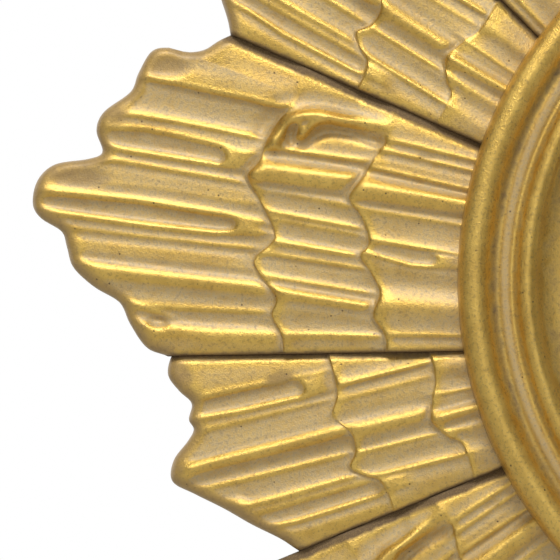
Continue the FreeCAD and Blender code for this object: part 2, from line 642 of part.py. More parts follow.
PILLAR_R = 1.6
PILLARS = ((-22.0, 22.6), (22.0, 22.6), (-22.0, -6.4), (22.6, -6.4))


def make_mid_plate():
    """The plate between the two halves of the train, with the pivot holes, screwed to four pillars."""
    body = block(-24.5, 25.0, -9.0, 25.0, *PLATE_W)
    body = body.cut(block(-30, -13.0, -3.8, 16.0, 0, 20))
    body = body.cut(block(-12.0, 10.5, CORE_Z - 3.4, 30.0, 0, 20))
    holes = [
        disc(SECONDS_ARBOR_R + PIVOT_CLEARANCE, 0, 20),
        disc(PIVOT_R + PIVOT_CLEARANCE, 0, 20, THIRD_AT),
        disc(PIVOT_R + PIVOT_CLEARANCE, 0, 20, INTERMEDIATE_AT),
        disc(PIVOT_R + PIVOT_CLEARANCE, 0, 20, ROTOR_AT),
        disc(KNOB_SHAFT_R + RUNNING, 0, 20, KNOB_AT),
    ]
    return cut_all(body, holes)


def make_case_back():
    """The snap-on back cover over the gear chamber, with bearing bosses on its inside."""
    inner = CASE_HALF - WALL - 0.1
    cover = block(-inner, inner, PARTITION_Z[1] + 0.1, inner, *COVER_W)
    bosses = [disc(BEARING_BOSS_R, COVER_W[1], COVER_W[1] + 1.0, p) for p in (CENTRE, INTERMEDIATE_AT, ROTOR_AT)]
    cover = joined([cover] + bosses)
    blind = [
        disc(r + PIVOT_CLEARANCE, COVER_W[1] + 0.3, 20, p)
        for r, p in ((SECONDS_ARBOR_R, CENTRE), (PIVOT_R, INTERMEDIATE_AT), (PIVOT_R, ROTOR_AT))
    ]
    return cut_all(cover, blind + [disc(KNOB_SHAFT_R + RUNNING, 0, 20, KNOB_AT)])


STATOR_W = (8.7, 9.5)
CORE_Z = 21.6


def make_stator():
    """The flat iron stator: a square eye round the rotor, and two legs that meet the coil's core."""
    x, z = ROTOR_AT
    eye = block(x - 5.5, x + 5.5, z - 4.6, z + 4.6, *STATOR_W)
    arm = block(-18.0, x, z - 0.2, z + 2.8, *STATOR_W)
    left_leg = block(-18.0, -13.5, z - 0.2, CORE_Z + 2.0, *STATOR_W)
    right_leg = block(x + 1.0, x + 5.5, z, CORE_Z + 2.0, *STATOR_W)
    return joined([eye, arm, left_leg, right_leg]).cut(disc(MAGNET_R + 0.5, 0, 20, ROTOR_AT))


def along_x(radius, x0, x1, z, w):
    return Part.makeCylinder(radius, x1 - x0, Vector(x0, -w, z), Vector(1, 0, 0))


def make_coil():
    """The coil: an iron core across the two legs, a flanged bobbin on it, and the copper winding."""
    core_w = (STATOR_W[0] - 0.8, STATOR_W[0])
    core = block(-18.0, ROTOR_AT[0] + 5.5, CORE_Z - 1.5, CORE_Z + 1.5, *core_w)
    middle_w = (core_w[0] + core_w[1]) / 2
    hole = block(-11.2, 9.7, CORE_Z - 1.55, CORE_Z + 1.55, core_w[0] - 0.05, core_w[1] + 0.05)
    sleeve = along_x(1.9, -10.5, 9.0, CORE_Z, middle_w)
    flanges = [along_x(2.9, x, x + 0.6, CORE_Z, middle_w) for x in (-11.1, 9.0)]
    bobbin = joined([sleeve] + flanges).cut(hole)
    winding = along_x(2.6, -10.4, 8.9, CORE_Z, middle_w).cut(along_x(1.93, -12, 12, CORE_Z, middle_w))
    return core, bobbin, winding


CARD_W = (14.8, 15.6)


def make_circuit():
    """The circuit card, the quartz crystal in its can and the drop of resin over the chip."""
    card = block(-26.4, -12.0, -9.0, 15.0, *CARD_W)
    card = card.cut(disc(PILLAR_R + 0.1, 0, 20, PILLARS[2]))
    can = Part.makeCylinder(1.5, 8.0, at(-21.4, 5.0, CARD_W[0] - 1.6), Vector(0, 0, 1))
    chip = Part.makeSphere(3.2, at(-22.0, 0.0, CARD_W[0] + 1.9))
    chip = chip.common(block(-30, 0, -10, 10, 5.0, CARD_W[0]))
    return card, can, chip


def make_contacts():
    """The two battery contacts: a flat positive leaf and a negative leaf with a sprung bow."""
    inner = CASE_HALF - WALL
    low, high, wide = BATTERY_Z - 4.5, BATTERY_Z + 4.5, 0.4
    positive = block(inner - wide, inner, low, high, 6.0, 14.5)
    positive = positive.fuse(block(inner - wide, inner, high, -7.0, 6.0, 8.5))
    negative = block(-inner, -inner + wide, low, high, 6.0, 14.5)
    negative = negative.fuse(block(-inner, -inner + wide, high, -7.0, 6.0, 8.5))
    bow_r = 5.0
    bow = tube(bow_r, bow_r - wide, 8.0, 12.0, centre=(-inner - bow_r + 2.0, BATTERY_Z))
    bow = bow.common(block(-inner, 0, -40, 0, 0, 20))
    return positive, joined([negative, bow])


def make_battery():
    """A single AA cell lying in its bay, with its positive cap to the right."""
    can = along_x(BATTERY_R, -BATTERY_HALF, BATTERY_HALF, BATTERY_Z, BATTERY_W)
    return can.fuse(along_x(2.7, BATTERY_HALF, BATTERY_HALF + 1.6, BATTERY_Z, BATTERY_W))


def hexagon(across_flats, w0, w1):
    corner_r = across_flats / math.sqrt(3)
    return plate([step_from(CENTRE, corner_r, 60 * n) for n in range(6)], w0, w1)


def make_mounting():
    """The rubber gasket behind the dial, and the brass washer and hexagon nut in front of it."""
    gasket = tube(8.0, BUSH_R + 0.05, CASE_W[1], DIAL_W[0])
    washer = tube(7.0, BUSH_R + 0.1, DIAL_W[1], DIAL_W[1] + 0.5)
    nut = hexagon(12.0, DIAL_W[1] + 0.5, DIAL_W[1] + 2.7).cut(disc(BUSH_R + THREAD_PLAY, 0, 60))
    return gasket, washer, nut


# ---------------------------------------------------------------- all the pieces
def make_parts():
    parts = make_rays()
    parts["backing_board"] = make_board()
    parts["ray_screws"] = Part.makeCompound([countersunk_screw(p, *RAY_SCREW_W) for p in all_ray_screw_places()])
    parts["ring_screws"] = Part.makeCompound([countersunk_screw(p, *RING_SCREW_W) for p in ring_screw_places()])
    parts["hanger_plate"], parts["hanger_screws"] = make_hanger()
    parts["ring_moulding"] = make_ring()
    parts["dial"] = make_dial()
    parts["dial_screws"] = make_dial_screws()
    parts["reflector_ring"] = tube(REFLECTOR_R[1], REFLECTOR_R[0], DIAL_W[1], GLASS_W[0])
    parts["glass_lens"] = disc(GLASS_R, *GLASS_W)
    parts["hour_hand"] = make_hour_hand()
    parts["minute_hand"] = make_minute_hand()
    parts["second_hand"] = make_second_hand()
    parts["minute_hand_nut"] = tube(2.6, MINUTE_TUBE_R + THREAD_PLAY, MINUTE_HAND_W[1], MINUTE_TUBE_END)
    parts["minute_tube"] = make_minute_tube()
    parts["hour_wheel"] = make_hour_wheel()
    parts["minute_wheel"] = make_minute_wheel()
    parts["center_wheel"] = make_center_wheel()
    parts["third_wheel"] = make_third_wheel()
    parts["seconds_wheel"] = make_seconds_wheel()
    parts["intermediate_wheel"] = make_intermediate_wheel()
    parts["rotor_pinion"], parts["rotor_magnet"] = make_rotor()
    parts["setting_knob"] = make_setting_knob()
    parts["case_front"] = make_case_front()
    parts["case_back"] = make_case_back()
    parts["mid_plate"] = make_mid_plate()
    parts["stator"] = make_stator()
    parts["coil_core"], parts["coil_bobbin"], parts["coil_winding"] = make_coil()
    parts["circuit_card"], parts["quartz_crystal"], parts["chip"] = make_circuit()
    parts["positive_contact"], parts["negative_contact"] = make_contacts()
    parts["battery"] = make_battery()
    parts["rubber_gasket"], parts["brass_washer"], parts["mounting_nut"] = make_mounting()
    return parts


def main():
    os.makedirs("parts", exist_ok=True)
    for name, shape in make_parts().items():
        good = shape.isValid() and len(shape.Solids) > 0
        if not good:
            print("not a valid solid:", name)
        shape.exportStep(f"parts/{name}.step")
        print(f"{name:20s} solids {len(shape.Solids):3d}  volume {shape.Volume / 1000:9.3f} cm3")


main()
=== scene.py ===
import json
import math

import bpy
import numpy as np
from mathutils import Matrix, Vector


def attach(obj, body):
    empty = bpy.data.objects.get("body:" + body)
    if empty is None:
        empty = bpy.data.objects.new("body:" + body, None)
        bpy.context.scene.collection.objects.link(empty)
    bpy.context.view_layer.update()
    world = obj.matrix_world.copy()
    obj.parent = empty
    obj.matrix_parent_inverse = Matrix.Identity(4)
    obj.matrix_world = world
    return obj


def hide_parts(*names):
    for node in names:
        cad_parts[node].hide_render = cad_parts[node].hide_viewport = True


# A gilt sunburst wall clock in metres, round the frame that holds its board, dial, movement and screws.
# The dial faces -Y. Ray and ring sizes are drawn in millimetres, and w is the distance out from the wall.
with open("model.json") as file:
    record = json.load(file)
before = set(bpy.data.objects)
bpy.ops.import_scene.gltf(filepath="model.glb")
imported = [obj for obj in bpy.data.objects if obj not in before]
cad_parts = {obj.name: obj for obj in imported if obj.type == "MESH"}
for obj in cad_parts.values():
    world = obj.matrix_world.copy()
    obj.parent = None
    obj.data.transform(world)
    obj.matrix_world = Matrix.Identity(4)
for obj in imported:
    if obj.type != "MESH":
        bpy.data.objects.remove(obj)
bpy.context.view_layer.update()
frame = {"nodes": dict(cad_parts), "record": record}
NODES = frame["nodes"]
MM = 0.001


# ---------------------------------------------------------------- carved rays: drawing
# Each ray is drawn in its own frame: u runs outwards along its axis, v runs clockwise across it.
# Angles are counted clockwise from 9 o'clock. A flute line is (height, sharpness, its (u, v) points).
PAIRS = 8
RAY_PITCH = 360.0 / PAIRS
RAY_BACK = 9.0
ROOT_R = 100.5
LAND_W = 20.0
LAND_R = 122.42
TOP_R = 122.45
TOP_AT_RING = 29.6
TOP_AT_TIP = 20.4
TIP_R = 255.0
TIER_STEP = 1.7
TIER_GAP = 0.45
STEP_ROUND = 1.5
EDGE_ROUND = 3.4
SIDE_ROUND = 1.3
HALF_SEAM = 0.05

# A seam between two rays runs straight past the centre: (its direction, its distance from the centre).
LOW_SEAM = (-0.8, 19.2)
HIGH_SEAM = (24.2, 9.7)

# How each pair of rays was set by hand: the turns of the seams on the large ray's two sides, each ray's own
# turn and shift outwards, and how much longer the small ray is.
SEAM_SET = (
    (0.0, 0.0), (1.6, 0.8), (0.6, 0.3), (-0.4, -0.5), (0.2, 0.3), (0.5, 0.2), (-0.4, -0.6), (-1.2, -1.7),
)
LARGE_SET = (
    (0.0, 0.0), (1.0, -2.0), (0.5, 1.5), (-0.5, -3.0), (0.0, 2.0), (0.6, -1.0), (-0.6, 0.0), (-2.1, -6.0),
)
SMALL_SET = (
    (0.0, 0.0), (0.9, 6.0), (0.4, -1.0), (-0.4, 3.0), (0.3, 0.0), (0.2, 2.5), (-0.3, -1.5), (-0.8, 1.0),
)
SMALL_REACH = (0.0, 10.0, 2.0, 0.0, 7.0, 1.0, 4.0, 0.0)

# A flute line's sharpness is for a round crest or hollow, or for a crisp crease. The flutes stand out by
# RELIEF times the heights in their tables.
ROUND = 0.0
CRISP = 2.6
RELIEF = 1.15


def ridge(height, fall, width, points):
    """A flute line for a crest, after the line of the steep foot below it."""
    foot = tuple((u, v - width) for u, v in points)
    return (height - fall, ROUND, foot), (height, CRISP, points)


LARGE_EDGE = (
    (203.0, -43.5), (206.5, -40.3), (213.2, -38.2), (218.8, -31.5), (222.6, -25.3), (230.8, -21.2),
    (237.4, -16.0), (239.9, -10.0), (242.0, -5.4), (248.8, -1.8), (251.4, 2.5), (250.4, 9.5),
    (245.5, 14.6), (235.8, 17.0), (231.7, 19.5), (234.1, 25.8), (232.3, 31.6), (224.9, 38.2),
    (223.0, 44.0), (219.6, 51.0), (214.4, 52.6), (209.0, 51.7), (203.8, 52.8), (199.5, 56.0), (194.0, 59.4),
)
LARGE_MIDDLE = (
    (171.8, -40.0), (173.0, -31.8), (176.7, -25.5), (176.1, -20.0), (181.4, -13.6), (183.5, -9.0),
    (178.3, -3.4), (178.5, 0.6), (183.5, 9.0), (187.6, 15.5), (184.6, 20.5), (183.2, 25.0),
    (181.8, 29.5), (179.8, 33.2), (177.2, 36.6), (174.6, 40.5), (173.4, 46.0), (173.0, 56.0),
)
LARGE_INNER = (
    (140.6, -40.0), (142.2, -29.2), (146.6, -23.0), (145.1, -16.0), (148.5, -9.7), (151.9, -5.7),
    (149.6, -1.0), (153.0, 6.9), (156.9, 11.6), (153.5, 18.0), (149.6, 24.7), (147.0, 29.5),
    (146.5, 36.0), (146.5, 48.0),
)
LARGE_OUTER_FLUTES = (
    (-1.0, ROUND, ((170, -38.5), (205, -42.0))),
    (0.8, ROUND, ((175, -31.5), (195, -32.6), (205, -32.0))),
    (-0.6, ROUND, ((177, -28.0), (207, -29.0))),
    (0.45, CRISP, ((176, -24.5), (205, -25.8))),
    (-0.1, ROUND, ((178, -22.6), (235, -21.4))),
    (1.5, ROUND, ((178, -17.5), (205, -17.0), (235, -15.5))),
    (-0.15, ROUND, ((183, -13.7), (238, -12.2))),
    (0.2, CRISP, ((183, -12.6), (238, -11.1))),
    (0.05, ROUND, ((183, -9.6), (240, -8.2))),
    *ridge(0.5, 1.1, 1.1, ((183, -6.2), (240, -4.6))),
    *ridge(1.1, 1.5, 1.8, ((188, -0.8), (195, -2.2), (215, -1.8), (240, -0.4), (250, 0.5))),
    (-0.9, ROUND, ((188, 0.2), (200, 0.5), (220, 1.4), (250, 2.6))),
    *ridge(1.6, 2.3, 1.5, ((184, 1.9), (190, 3.0), (200, 3.7), (220, 5.2), (248, 5.6))),
    (0.1, ROUND, ((186, 6.0), (194, 6.9), (213, 8.6), (246, 9.5))),
    (0.4, CRISP, ((187, 7.2), (194, 7.8), (213, 9.6), (246, 10.4))),
    (0.05, ROUND, ((187, 10.0), (210, 12.4), (244, 12.6))),
    *ridge(0.75, 1.0, 1.2, ((188, 13.5), (210, 15.5), (226, 17.0), (240, 16.9))),
    *ridge(1.05, 1.4, 1.3, ((190, 17.6), (213, 19.3), (225, 20.3), (231, 21.4))),
    (-0.9, ROUND, ((190, 20.2), (200, 21.5), (212, 22.7), (230, 23.6))),
    *ridge(1.0, 1.6, 1.2, ((188, 22.3), (200, 24.5), (210, 26.0), (220, 27.0), (229, 26.6))),
    (0.15, ROUND, ((186, 24.6), (200, 26.6), (212, 28.0), (225, 28.6))),
    *ridge(0.9, 0.95, 1.1, ((183, 27.0), (200, 29.0), (210, 30.1), (222, 31.0))),
    (-0.85, ROUND, ((182, 31.2), (195, 33.4), (208, 35.2), (222, 37.0))),
    *ridge(1.35, 2.0, 1.7, ((180, 37.0), (190, 38.8), (200, 39.9), (210, 41.4), (221, 42.7))),
    (0.9, ROUND, ((178, 39.6), (190, 41.8), (205, 43.4), (221, 45.0))),
    (0.1, ROUND, ((176, 46.5), (190, 50.0), (205, 49.0), (220, 49.0))),
    (-0.3, ROUND, ((175, 50.5), (185, 54.5), (198, 60.0))),
)
LARGE_MIDDLE_FLUTES = (
    (-1.0, ROUND, ((140, -34.5), (176, -38.2))),
    (0.5, CRISP, ((145, -29.0), (160, -30.0), (174, -31.4))),
    (-0.45, ROUND, ((144, -26.4), (176, -26.8))),
    (0.15, ROUND, ((146, -23.4), (176, -22.4))),
    (1.5, ROUND, ((147, -20.5), (165, -19.2), (177, -18.0))),
    (-0.05, ROUND, ((147, -17.8), (177, -15.6))),
    (0.45, CRISP, ((147, -16.4), (177, -14.0))),
    (-0.6, ROUND, ((149, -13.0), (180, -10.8))),
    *ridge(0.5, 1.2, 1.2, ((151, -9.3), (181, -7.2))),
    (-0.1, ROUND, ((151, -8.0), (180, -5.8))),
    (0.9, CRISP, ((151, -5.6), (178, -3.2))),
    (-0.6, ROUND, ((150, -2.8), (178, 0.0))),
    *ridge(0.4, 0.7, 0.9, ((150, 0.2), (180, 3.4))),
    *ridge(0.75, 0.8, 0.9, ((151, 2.5), (181, 5.4))),
    (-0.5, ROUND, ((154, 6.2), (184, 9.0))),
    (0.4, CRISP, ((157, 9.8), (187, 12.4))),
    (-0.4, CRISP, ((157, 11.4), (188, 13.2))),
    (2.1, ROUND, ((154, 17.2), (187, 18.2))),
    *ridge(0.7, 1.3, 1.5, ((151, 22.6), (180, 24.4))),
    (-0.3, ROUND, ((149, 25.6), (162, 27.0), (180, 27.4))),
    (-0.6, ROUND, ((148, 29.6), (163, 30.6), (176, 30.0))),
    (0.6, ROUND, ((146, 33.8), (160, 34.6), (167, 35.6), (177, 35.6))),
    (0.0, ROUND, ((145, 38.0), (176, 41.0))),
    (-0.5, ROUND, ((145, 41.0), (180, 53.0))),
)
LARGE_INNER_FLUTES = (
    (-0.6, ROUND, ((119, -32.0), (150, -36.0))),
    *ridge(0.5, 1.1, 1.6, ((120, -27.0), (142, -28.6))),
    (0.1, ROUND, ((122, -24.8), (144, -26.4))),
    (1.2, ROUND, ((122, -19.3), (146, -19.6))),
    (-0.75, ROUND, ((122, -12.6), (147, -12.4))),
    *ridge(0.6, 0.8, 1.2, ((124, -6.9), (136, -7.2), (151, -4.2))),
    (-0.65, ROUND, ((124, -4.8), (136, -4.6), (151, -2.6))),
    *ridge(0.7, 1.1, 1.0, ((122, -2.8), (151, -0.6))),
    (-0.5, ROUND, ((122, 2.2), (152, 4.2))),
    (0.45, CRISP, ((122, 6.2), (154, 8.8))),
    (-0.3, CRISP, ((122, 8.2), (156, 10.2))),
    (2.0, ROUND, ((122, 12.8), (156, 15.4))),
    *ridge(0.5, 1.1, 1.0, ((122, 16.9), (152, 21.2))),
    (-0.1, ROUND, ((122, 19.4), (151, 23.6))),
    *ridge(0.5, 1.0, 1.4, ((119, 22.4), (148, 26.6))),
    *ridge(0.8, 1.0, 1.4, ((119, 25.6), (148, 30.0))),
    (0.0, ROUND, ((119, 28.6), (148, 34.0))),
    (-0.4, ROUND, ((119, 30.4), (148, 41.0))),
)

SMALL_EDGE = (
    (183.0, -31.0), (186.8, -26.5), (190.5, -22.1), (197.2, -15.8), (203.7, -8.9), (211.0, -2.0),
    (216.3, 3.6), (214.1, 9.5), (208.6, 13.6), (205.6, 16.6), (206.1, 20.0), (203.9, 24.3),
    (206.4, 29.0), (208.2, 34.5), (205.8, 39.5), (202.0, 42.5),
)
SMALL_MIDDLE = (
    (155.5, -30.0), (155.6, -19.0), (157.0, -14.2), (161.2, -11.4), (164.4, -7.9), (161.4, -4.0),
    (161.0, 2.0), (164.7, 8.2), (161.8, 13.5), (160.8, 20.0), (160.5, 32.0),
)
SMALL_INNER = (
    (129.5, -25.0), (129.8, -12.0), (133.4, -7.9), (137.1, -2.0), (135.0, 4.0), (132.2, 9.5),
    (131.5, 17.0), (131.5, 24.0),
)
SMALL_OUTER_FLUTES = (
    (-0.9, ROUND, ((155, -25.0), (190, -28.5))),
    (0.0, ROUND, ((157, -22.0), (190, -22.0))),
    *ridge(0.9, 1.2, 1.5, ((156, -18.4), (183, -18.9), (195, -17.6))),
    (-0.8, ROUND, ((156, -16.5), (192, -16.2))),
    *ridge(0.6, 1.2, 0.9, ((156, -14.0), (195, -13.5))),
    (0.1, ROUND, ((160, -12.8), (196, -12.4))),
    (0.8, CRISP, ((162, -10.8), (188, -10.4), (202, -9.6))),
    (-0.6, ROUND, ((163, -7.4), (203, -5.8))),
    *ridge(0.45, 0.9, 1.2, ((163, -4.2), (190, -2.6), (206, -1.4))),
    (-0.7, ROUND, ((162, -0.9), (208, 1.2))),
    (2.0, ROUND, ((161, 3.4), (180, 4.1), (200, 5.4), (213, 5.8))),
    (0.2, ROUND, ((163, 6.8), (211, 8.6))),
    (-0.2, ROUND, ((164, 10.2), (208, 12.0))),
    *ridge(0.4, 0.7, 1.1, ((163, 13.0), (200, 15.0), (206, 15.6))),
    *ridge(0.95, 1.1, 1.2, ((166, 15.9), (190, 17.6), (205, 19.6))),
    (-0.85, ROUND, ((166, 18.5), (205, 21.6))),
    *ridge(1.1, 1.9, 0.9, ((164, 21.4), (190, 23.7), (204, 24.8))),
    (0.4, ROUND, ((162, 23.4), (205, 28.4))),
    (0.2, ROUND, ((160, 25.6), (206, 36.5))),
    (-0.6, ROUND, ((158, 28.0), (206, 42.5))),
)
SMALL_MIDDLE_FLUTES = (
    (-0.8, ROUND, ((130, -22.6), (158, -25.5))),
    (0.1, ROUND, ((130, -18.5), (157, -19.5))),
    *ridge(0.9, 1.0, 2.2, ((131, -14.2), (158, -12.6))),
    (-0.7, ROUND, ((133, -9.8), (163, -9.6))),
    *ridge(0.45, 0.7, 1.2, ((135, -6.0), (163, -4.4))),
    (-0.5, ROUND, ((136, -3.8), (162, -3.2))),
    (1.4, ROUND, ((137, 0.8), (162, 2.3))),
    (-0.3, ROUND, ((134, 4.8), (164, 6.8))),
    (0.0, ROUND, ((133, 8.4), (164, 9.8))),
    (0.45, CRISP, ((132, 11.0), (162, 12.2))),
    *ridge(1.5, 1.6, 0.9, ((131, 14.9), (161, 16.2))),
    (-0.1, ROUND, ((131, 19.2), (161, 21.6))),
    (-0.4, ROUND, ((130, 21.6), (160, 27.6))),
)
SMALL_INNER_FLUTES = (
    (-0.7, ROUND, ((119, -21.6), (133, -23.0))),
    (0.5, ROUND, ((119, -15.5), (131, -15.0))),
    (-0.4, ROUND, ((119, -11.0), (132, -10.4))),
    (0.3, ROUND, ((119, -7.4), (134, -6.8))),
    (-0.35, ROUND, ((119, -5.2), (136, -4.8))),
    (1.3, ROUND, ((119, -2.0), (138, -1.6))),
    (-0.35, ROUND, ((119, 1.0), (136, 1.6))),
    *ridge(0.4, 0.6, 1.2, ((119, 3.6), (134, 5.2))),
    (-0.4, ROUND, ((119, 7.0), (132, 8.6))),
    (0.5, ROUND, ((119, 10.6), (132, 13.0))),
    (-0.5, ROUND, ((119, 15.8), (132, 20.4))),
)

# How much of its full height a tier's step keeps, as (v, share) along the tier's end line.
LARGE_STEPS = (
    ((-30, 0.9), (-24, 1.0), (-15, 1.0), (-11, 0.5), (-7, 0.9), (-2, 0.9), (4, 1.0), (9, 0.45), (13, 1.0),
     (19, 1.0), (24, 0.4), (29, 0.45), (31, 0.1)),
    ((-32, 0.9), (-27, 0.6), (-20, 1.0), (-14, 0.8), (-9, 1.0), (-3, 0.6), (3, 1.0), (8, 0.5), (14, 1.2),
     (19, 1.2), (24, 0.5), (28, 0.9), (33, 1.0), (36, 0.5), (38, 0.0), (42, 0.0)),
)
SMALL_STEPS = (
    ((-14, 0.3), (-8, 0.6), (-3, 1.1), (3, 0.9), (6, 0.3), (12, 0.6), (20, 0.6)),
    ((-20, 0.4), (-14, 0.6), (-8, 1.0), (-4, 1.0), (1, 0.7), (7, 0.2), (13, 0.6), (16, 0.9), (22, 0.7)),
)

# Smooth scooped lobes, left matt: (u, v) of the centre, half length, half width, height there.
LARGE_LOBES = ((216.0, 47.2, 9.5, 4.6, -0.4), (230.0, 33.0, 6.0, 6.5, 0.1), (240.0, 11.6, 12.0, 3.8, -0.4))
SMALL_LOBES = ((205.0, 33.0, 4.0, 6.0, -0.1), (214.0, 7.0, 3.0, 3.0, 0.6), (176.5, 23.6, 5.2, 2.4, 0.3))

# Dimples, and bumps where the height isn't negative, in the same form as the lobes.
LARGE_DIMPLES = ((210.5, -30.6, 3.4, 2.0, -1.1), (134.0, 25.0, 3.0, 1.5, -0.3))
SMALL_DIMPLES = ((200.5, -9.0, 4.5, 3.2, 0.8), (130.0, -9.0, 3.0, 2.0, -0.4))

# The closed inner ends of the U-shaped flutes: (u, v) of the end, half width, and height of the land past it.
LARGE_FLUTE_ENDS = ((190.0, 0.6, 2.7, 1.2), (194.6, 20.6, 2.4, 1.0), (129.0, -4.9, 1.8, 0.6))
SMALL_FLUTE_ENDS = ((170.5, 18.8, 2.7, 0.95), (157.0, -16.3, 2.0, 0.8))

# Rounded welts, and grooves where the height is negative: (height, half width, the (u, v) points of a curve).
SCROLL_RIM = (2.6, 1.9, (
    (148, 34.0), (160.6, 34.6), (167.5, 35.4), (173.6, 34.4), (177.0, 31.9), (178.9, 28.8), (180.4, 26.6),
))
SCROLL_TONGUE = (2.7, 1.9, ((164.0, 35.0), (168.6, 33.4), (172.0, 29.8)))
SCROLL_ROOT = (2.5, 1.3, ((169.0, 34.6), (173.0, 33.4), (172.4, 29.8)))
LARGE_WELTS = (
    (-1.2, 1.4, ((171.6, 26.6), (167.6, 29.4), (163.4, 31.2), (156.6, 30.7), (149.5, 29.2))),
    (-1.6, 0.8, ((175.4, 31.4), (175.4, 29.0), (175.2, 26.8))),
    (-0.5, 2.2, ((184.5, 29.0), (182.2, 35.0), (178.0, 39.6), (169.0, 40.8), (158.0, 39.0))),
    (0.6, 0.9, ((206, -28.6), (212, -27.4), (222, -25.2))),
)

# The scroll's rim rises along u from a share of its height at its inner end.
RIM_START = 0.2
RIM_START_U = 149.0
RIM_RISE = 16.0


class Pattern:
    """The drawing of one kind of ray: its axis, edge, tier lines, flutes, and how its mesh is divided."""

    def __init__(self, axis, lines, flutes, columns, rows, details, flute_ends, steps, lobes, seam):
        self.axis = axis
        self.lines = lines
        self.flutes = flutes
        self.columns = columns
        self.rows = rows
        self.details = details
        self.flute_ends = flute_ends
        self.steps = steps
        self.lobes = lobes
        self.seam = seam


# ---------------------------------------------------------------- carved rays: curves and edges
PATH_STEPS = 6
WELT_STEPS = 4
LEAST_FLUTE = 0.05
DISH_LIP = 1.3

# How a flute's round end is closed: shares of its half width, and then lengths along the flute.
END_SIDE = 0.6
END_SIDE_FADE = 0.9
END_BOW = 0.8
END_LEAD = 1.0
END_SLOPE = 2.2
END_LAND = 14.0
END_LAND_FADE = 9.0


def smooth_path(points, steps):
    """Places along a smooth curve through the drawn points."""
    p = np.array(points, float)
    p = np.vstack([2 * p[0] - p[1], p, 2 * p[-1] - p[-2]])
    f = np.linspace(0.0, 1.0, steps, endpoint=False)[:, None]
    spans = []
    for a, b, c, d in zip(p, p[1:], p[2:], p[3:]):
        bend, twist = 2 * a - 5 * b + 4 * c - d, 3 * (b - c) + d - a
        spans.append(b + (c - a) * f / 2 + bend * f ** 2 / 2 + twist * f ** 3 / 2)
    return np.vstack(spans + [p[-2:-1]])


def distance_to(path, u, v):
    """The least distance from each place to a line of points."""
    best = np.full(u.shape, np.inf)
    for (au, av), (bu, bv) in zip(path, path[1:]):
        du, dv = bu - au, bv - av
        along = np.clip(((u - au) * du + (v - av) * dv) / (du * du + dv * dv), 0.0, 1.0)
        best = np.minimum(best, np.hypot(u - au - along * du, v - av - along * dv))
    return best


def ease(x):
    """A smooth rise from 0 to 1."""
    x = np.clip(x, 0.0, 1.0)
    return x * x * (3 - 2 * x)


def hump(values, middle, width):
    return np.exp(-((values - middle) / width) ** 2)


def spread(values, passes):
    """A soft copy of a height map, spread over its neighbours."""
    soft = values.copy()
    for _ in range(passes):
        padded = np.pad(soft, 1, mode="edge")
        soft = (padded[1:-1, :-2] + padded[1:-1, 2:] + padded[:-2, 1:-1] + padded[2:, 1:-1]) / 4
    return soft


def seam_angle(seam, turn, radius):
    """The angle at which a seam that passes beside the centre crosses a circle."""
    angle, offset = seam
    return angle + turn - np.degrees(np.arcsin(offset / radius))


def quarter_round(distance, radius):
    """How far a rounded edge falls at a distance in from it."""
    inside = np.clip(1 - distance / radius, 0.0, 1.0)
    return radius * (1 - np.sqrt(1 - inside ** 2))


def crossing_radius(path, low, high, shares):
    """The radius at which each column of the mesh crosses a drawn line."""
    radius = np.hypot(path[:, 0], path[:, 1])
    angle = np.degrees(np.arctan2(path[:, 1], path[:, 0]))
    share = (angle - low(radius)) / (high(radius) - low(radius))
    share = np.maximum.accumulate(share + np.arange(len(share)) * 1e-6)
    return np.interp(shares, share, radius)


def fluting(lines, u, v):
    """The height of the flutes: each line's own height on it, and a curve from line to line between."""
    places = [np.interp(u, [p[0] for p in points], [p[1] for p in points]) for _, _, points in lines]
    height = np.full(u.shape, lines[0][0], float)
    for (h0, s0, _), (h1, s1, _), v0, v1 in zip(lines, lines[1:], places, places[1:]):
        f = np.clip((v - v0) / np.maximum(v1 - v0, LEAST_FLUTE), 0.0, 1.0)
        rise = (f ** 3 - 2 * f ** 2 + f) * s0 + (3 - 2 * f) * f ** 2 + (f ** 3 - f ** 2) * s1
        height = np.where(v >= v0, h0 + (h1 - h0) * rise, height)
    return np.where(v >= places[-1], lines[-1][0], height)


def welt(height, width, path, u, v):
    """A rounded welt, or a groove where the height is negative, along a curve through the drawn points."""
    return height * hump(distance_to(smooth_path(path, WELT_STEPS), u, v), 0.0, width)


def dish(u, v, cu, cv, half_u, half_v):
    """1 at the middle of an oval, and 0 outside it."""
    return 1 - ease(np.hypot((u - cu) / half_u, (v - cv) / half_v) ** 2 / DISH_LIP)


def dimpled(dimples, u, v, height):
    return height + sum(rise * dish(u, v, *oval) for *oval, rise in dimples)


def large_ray_details(u, v, height):
    """The large ray's scroll with its tongue and hollows, its dimples, and the welt by its low edge."""
    taper = RIM_START + (1 - RIM_START) * ease((u - RIM_START_U) / RIM_RISE)
    rim, tongue, root = (welt(*line, u, v) for line in (SCROLL_RIM, SCROLL_TONGUE, SCROLL_ROOT))
    height += np.maximum(rim * taper, np.maximum(tongue, root))
    for line in LARGE_WELTS:
        height += welt(*line, u, v)
    return dimpled(LARGE_DIMPLES, u, v, height)


def small_ray_details(u, v, height):
    """The small ray's raised bump near the tip and the dimple beside the ring."""
    return dimpled(SMALL_DIMPLES, u, v, height)


def close_flute_ends(ends, u, v, height):
    """Fills the flutes inwards of their round ends, up to the height of their rims."""
    for eu, ev, half, land in ends:
        across = 1 - ease((np.abs(v - ev) - half * END_SIDE) / (half * END_SIDE_FADE))
        bow = half * (1 - np.sqrt(1 - np.clip((v - ev) / half, -1, 1) ** 2))
        along = 1 - ease((u - eu - END_BOW * bow + END_LEAD) / END_SLOPE)
        near = ease((u - eu + END_LAND) / END_LAND_FADE)
        share = across * along * near
        height = height * (1 - share) + land * share
    return height


# ---------------------------------------------------------------- carved rays: the front
OUTER = 2
FAR = 99.0
ROW_EASE = 0.035

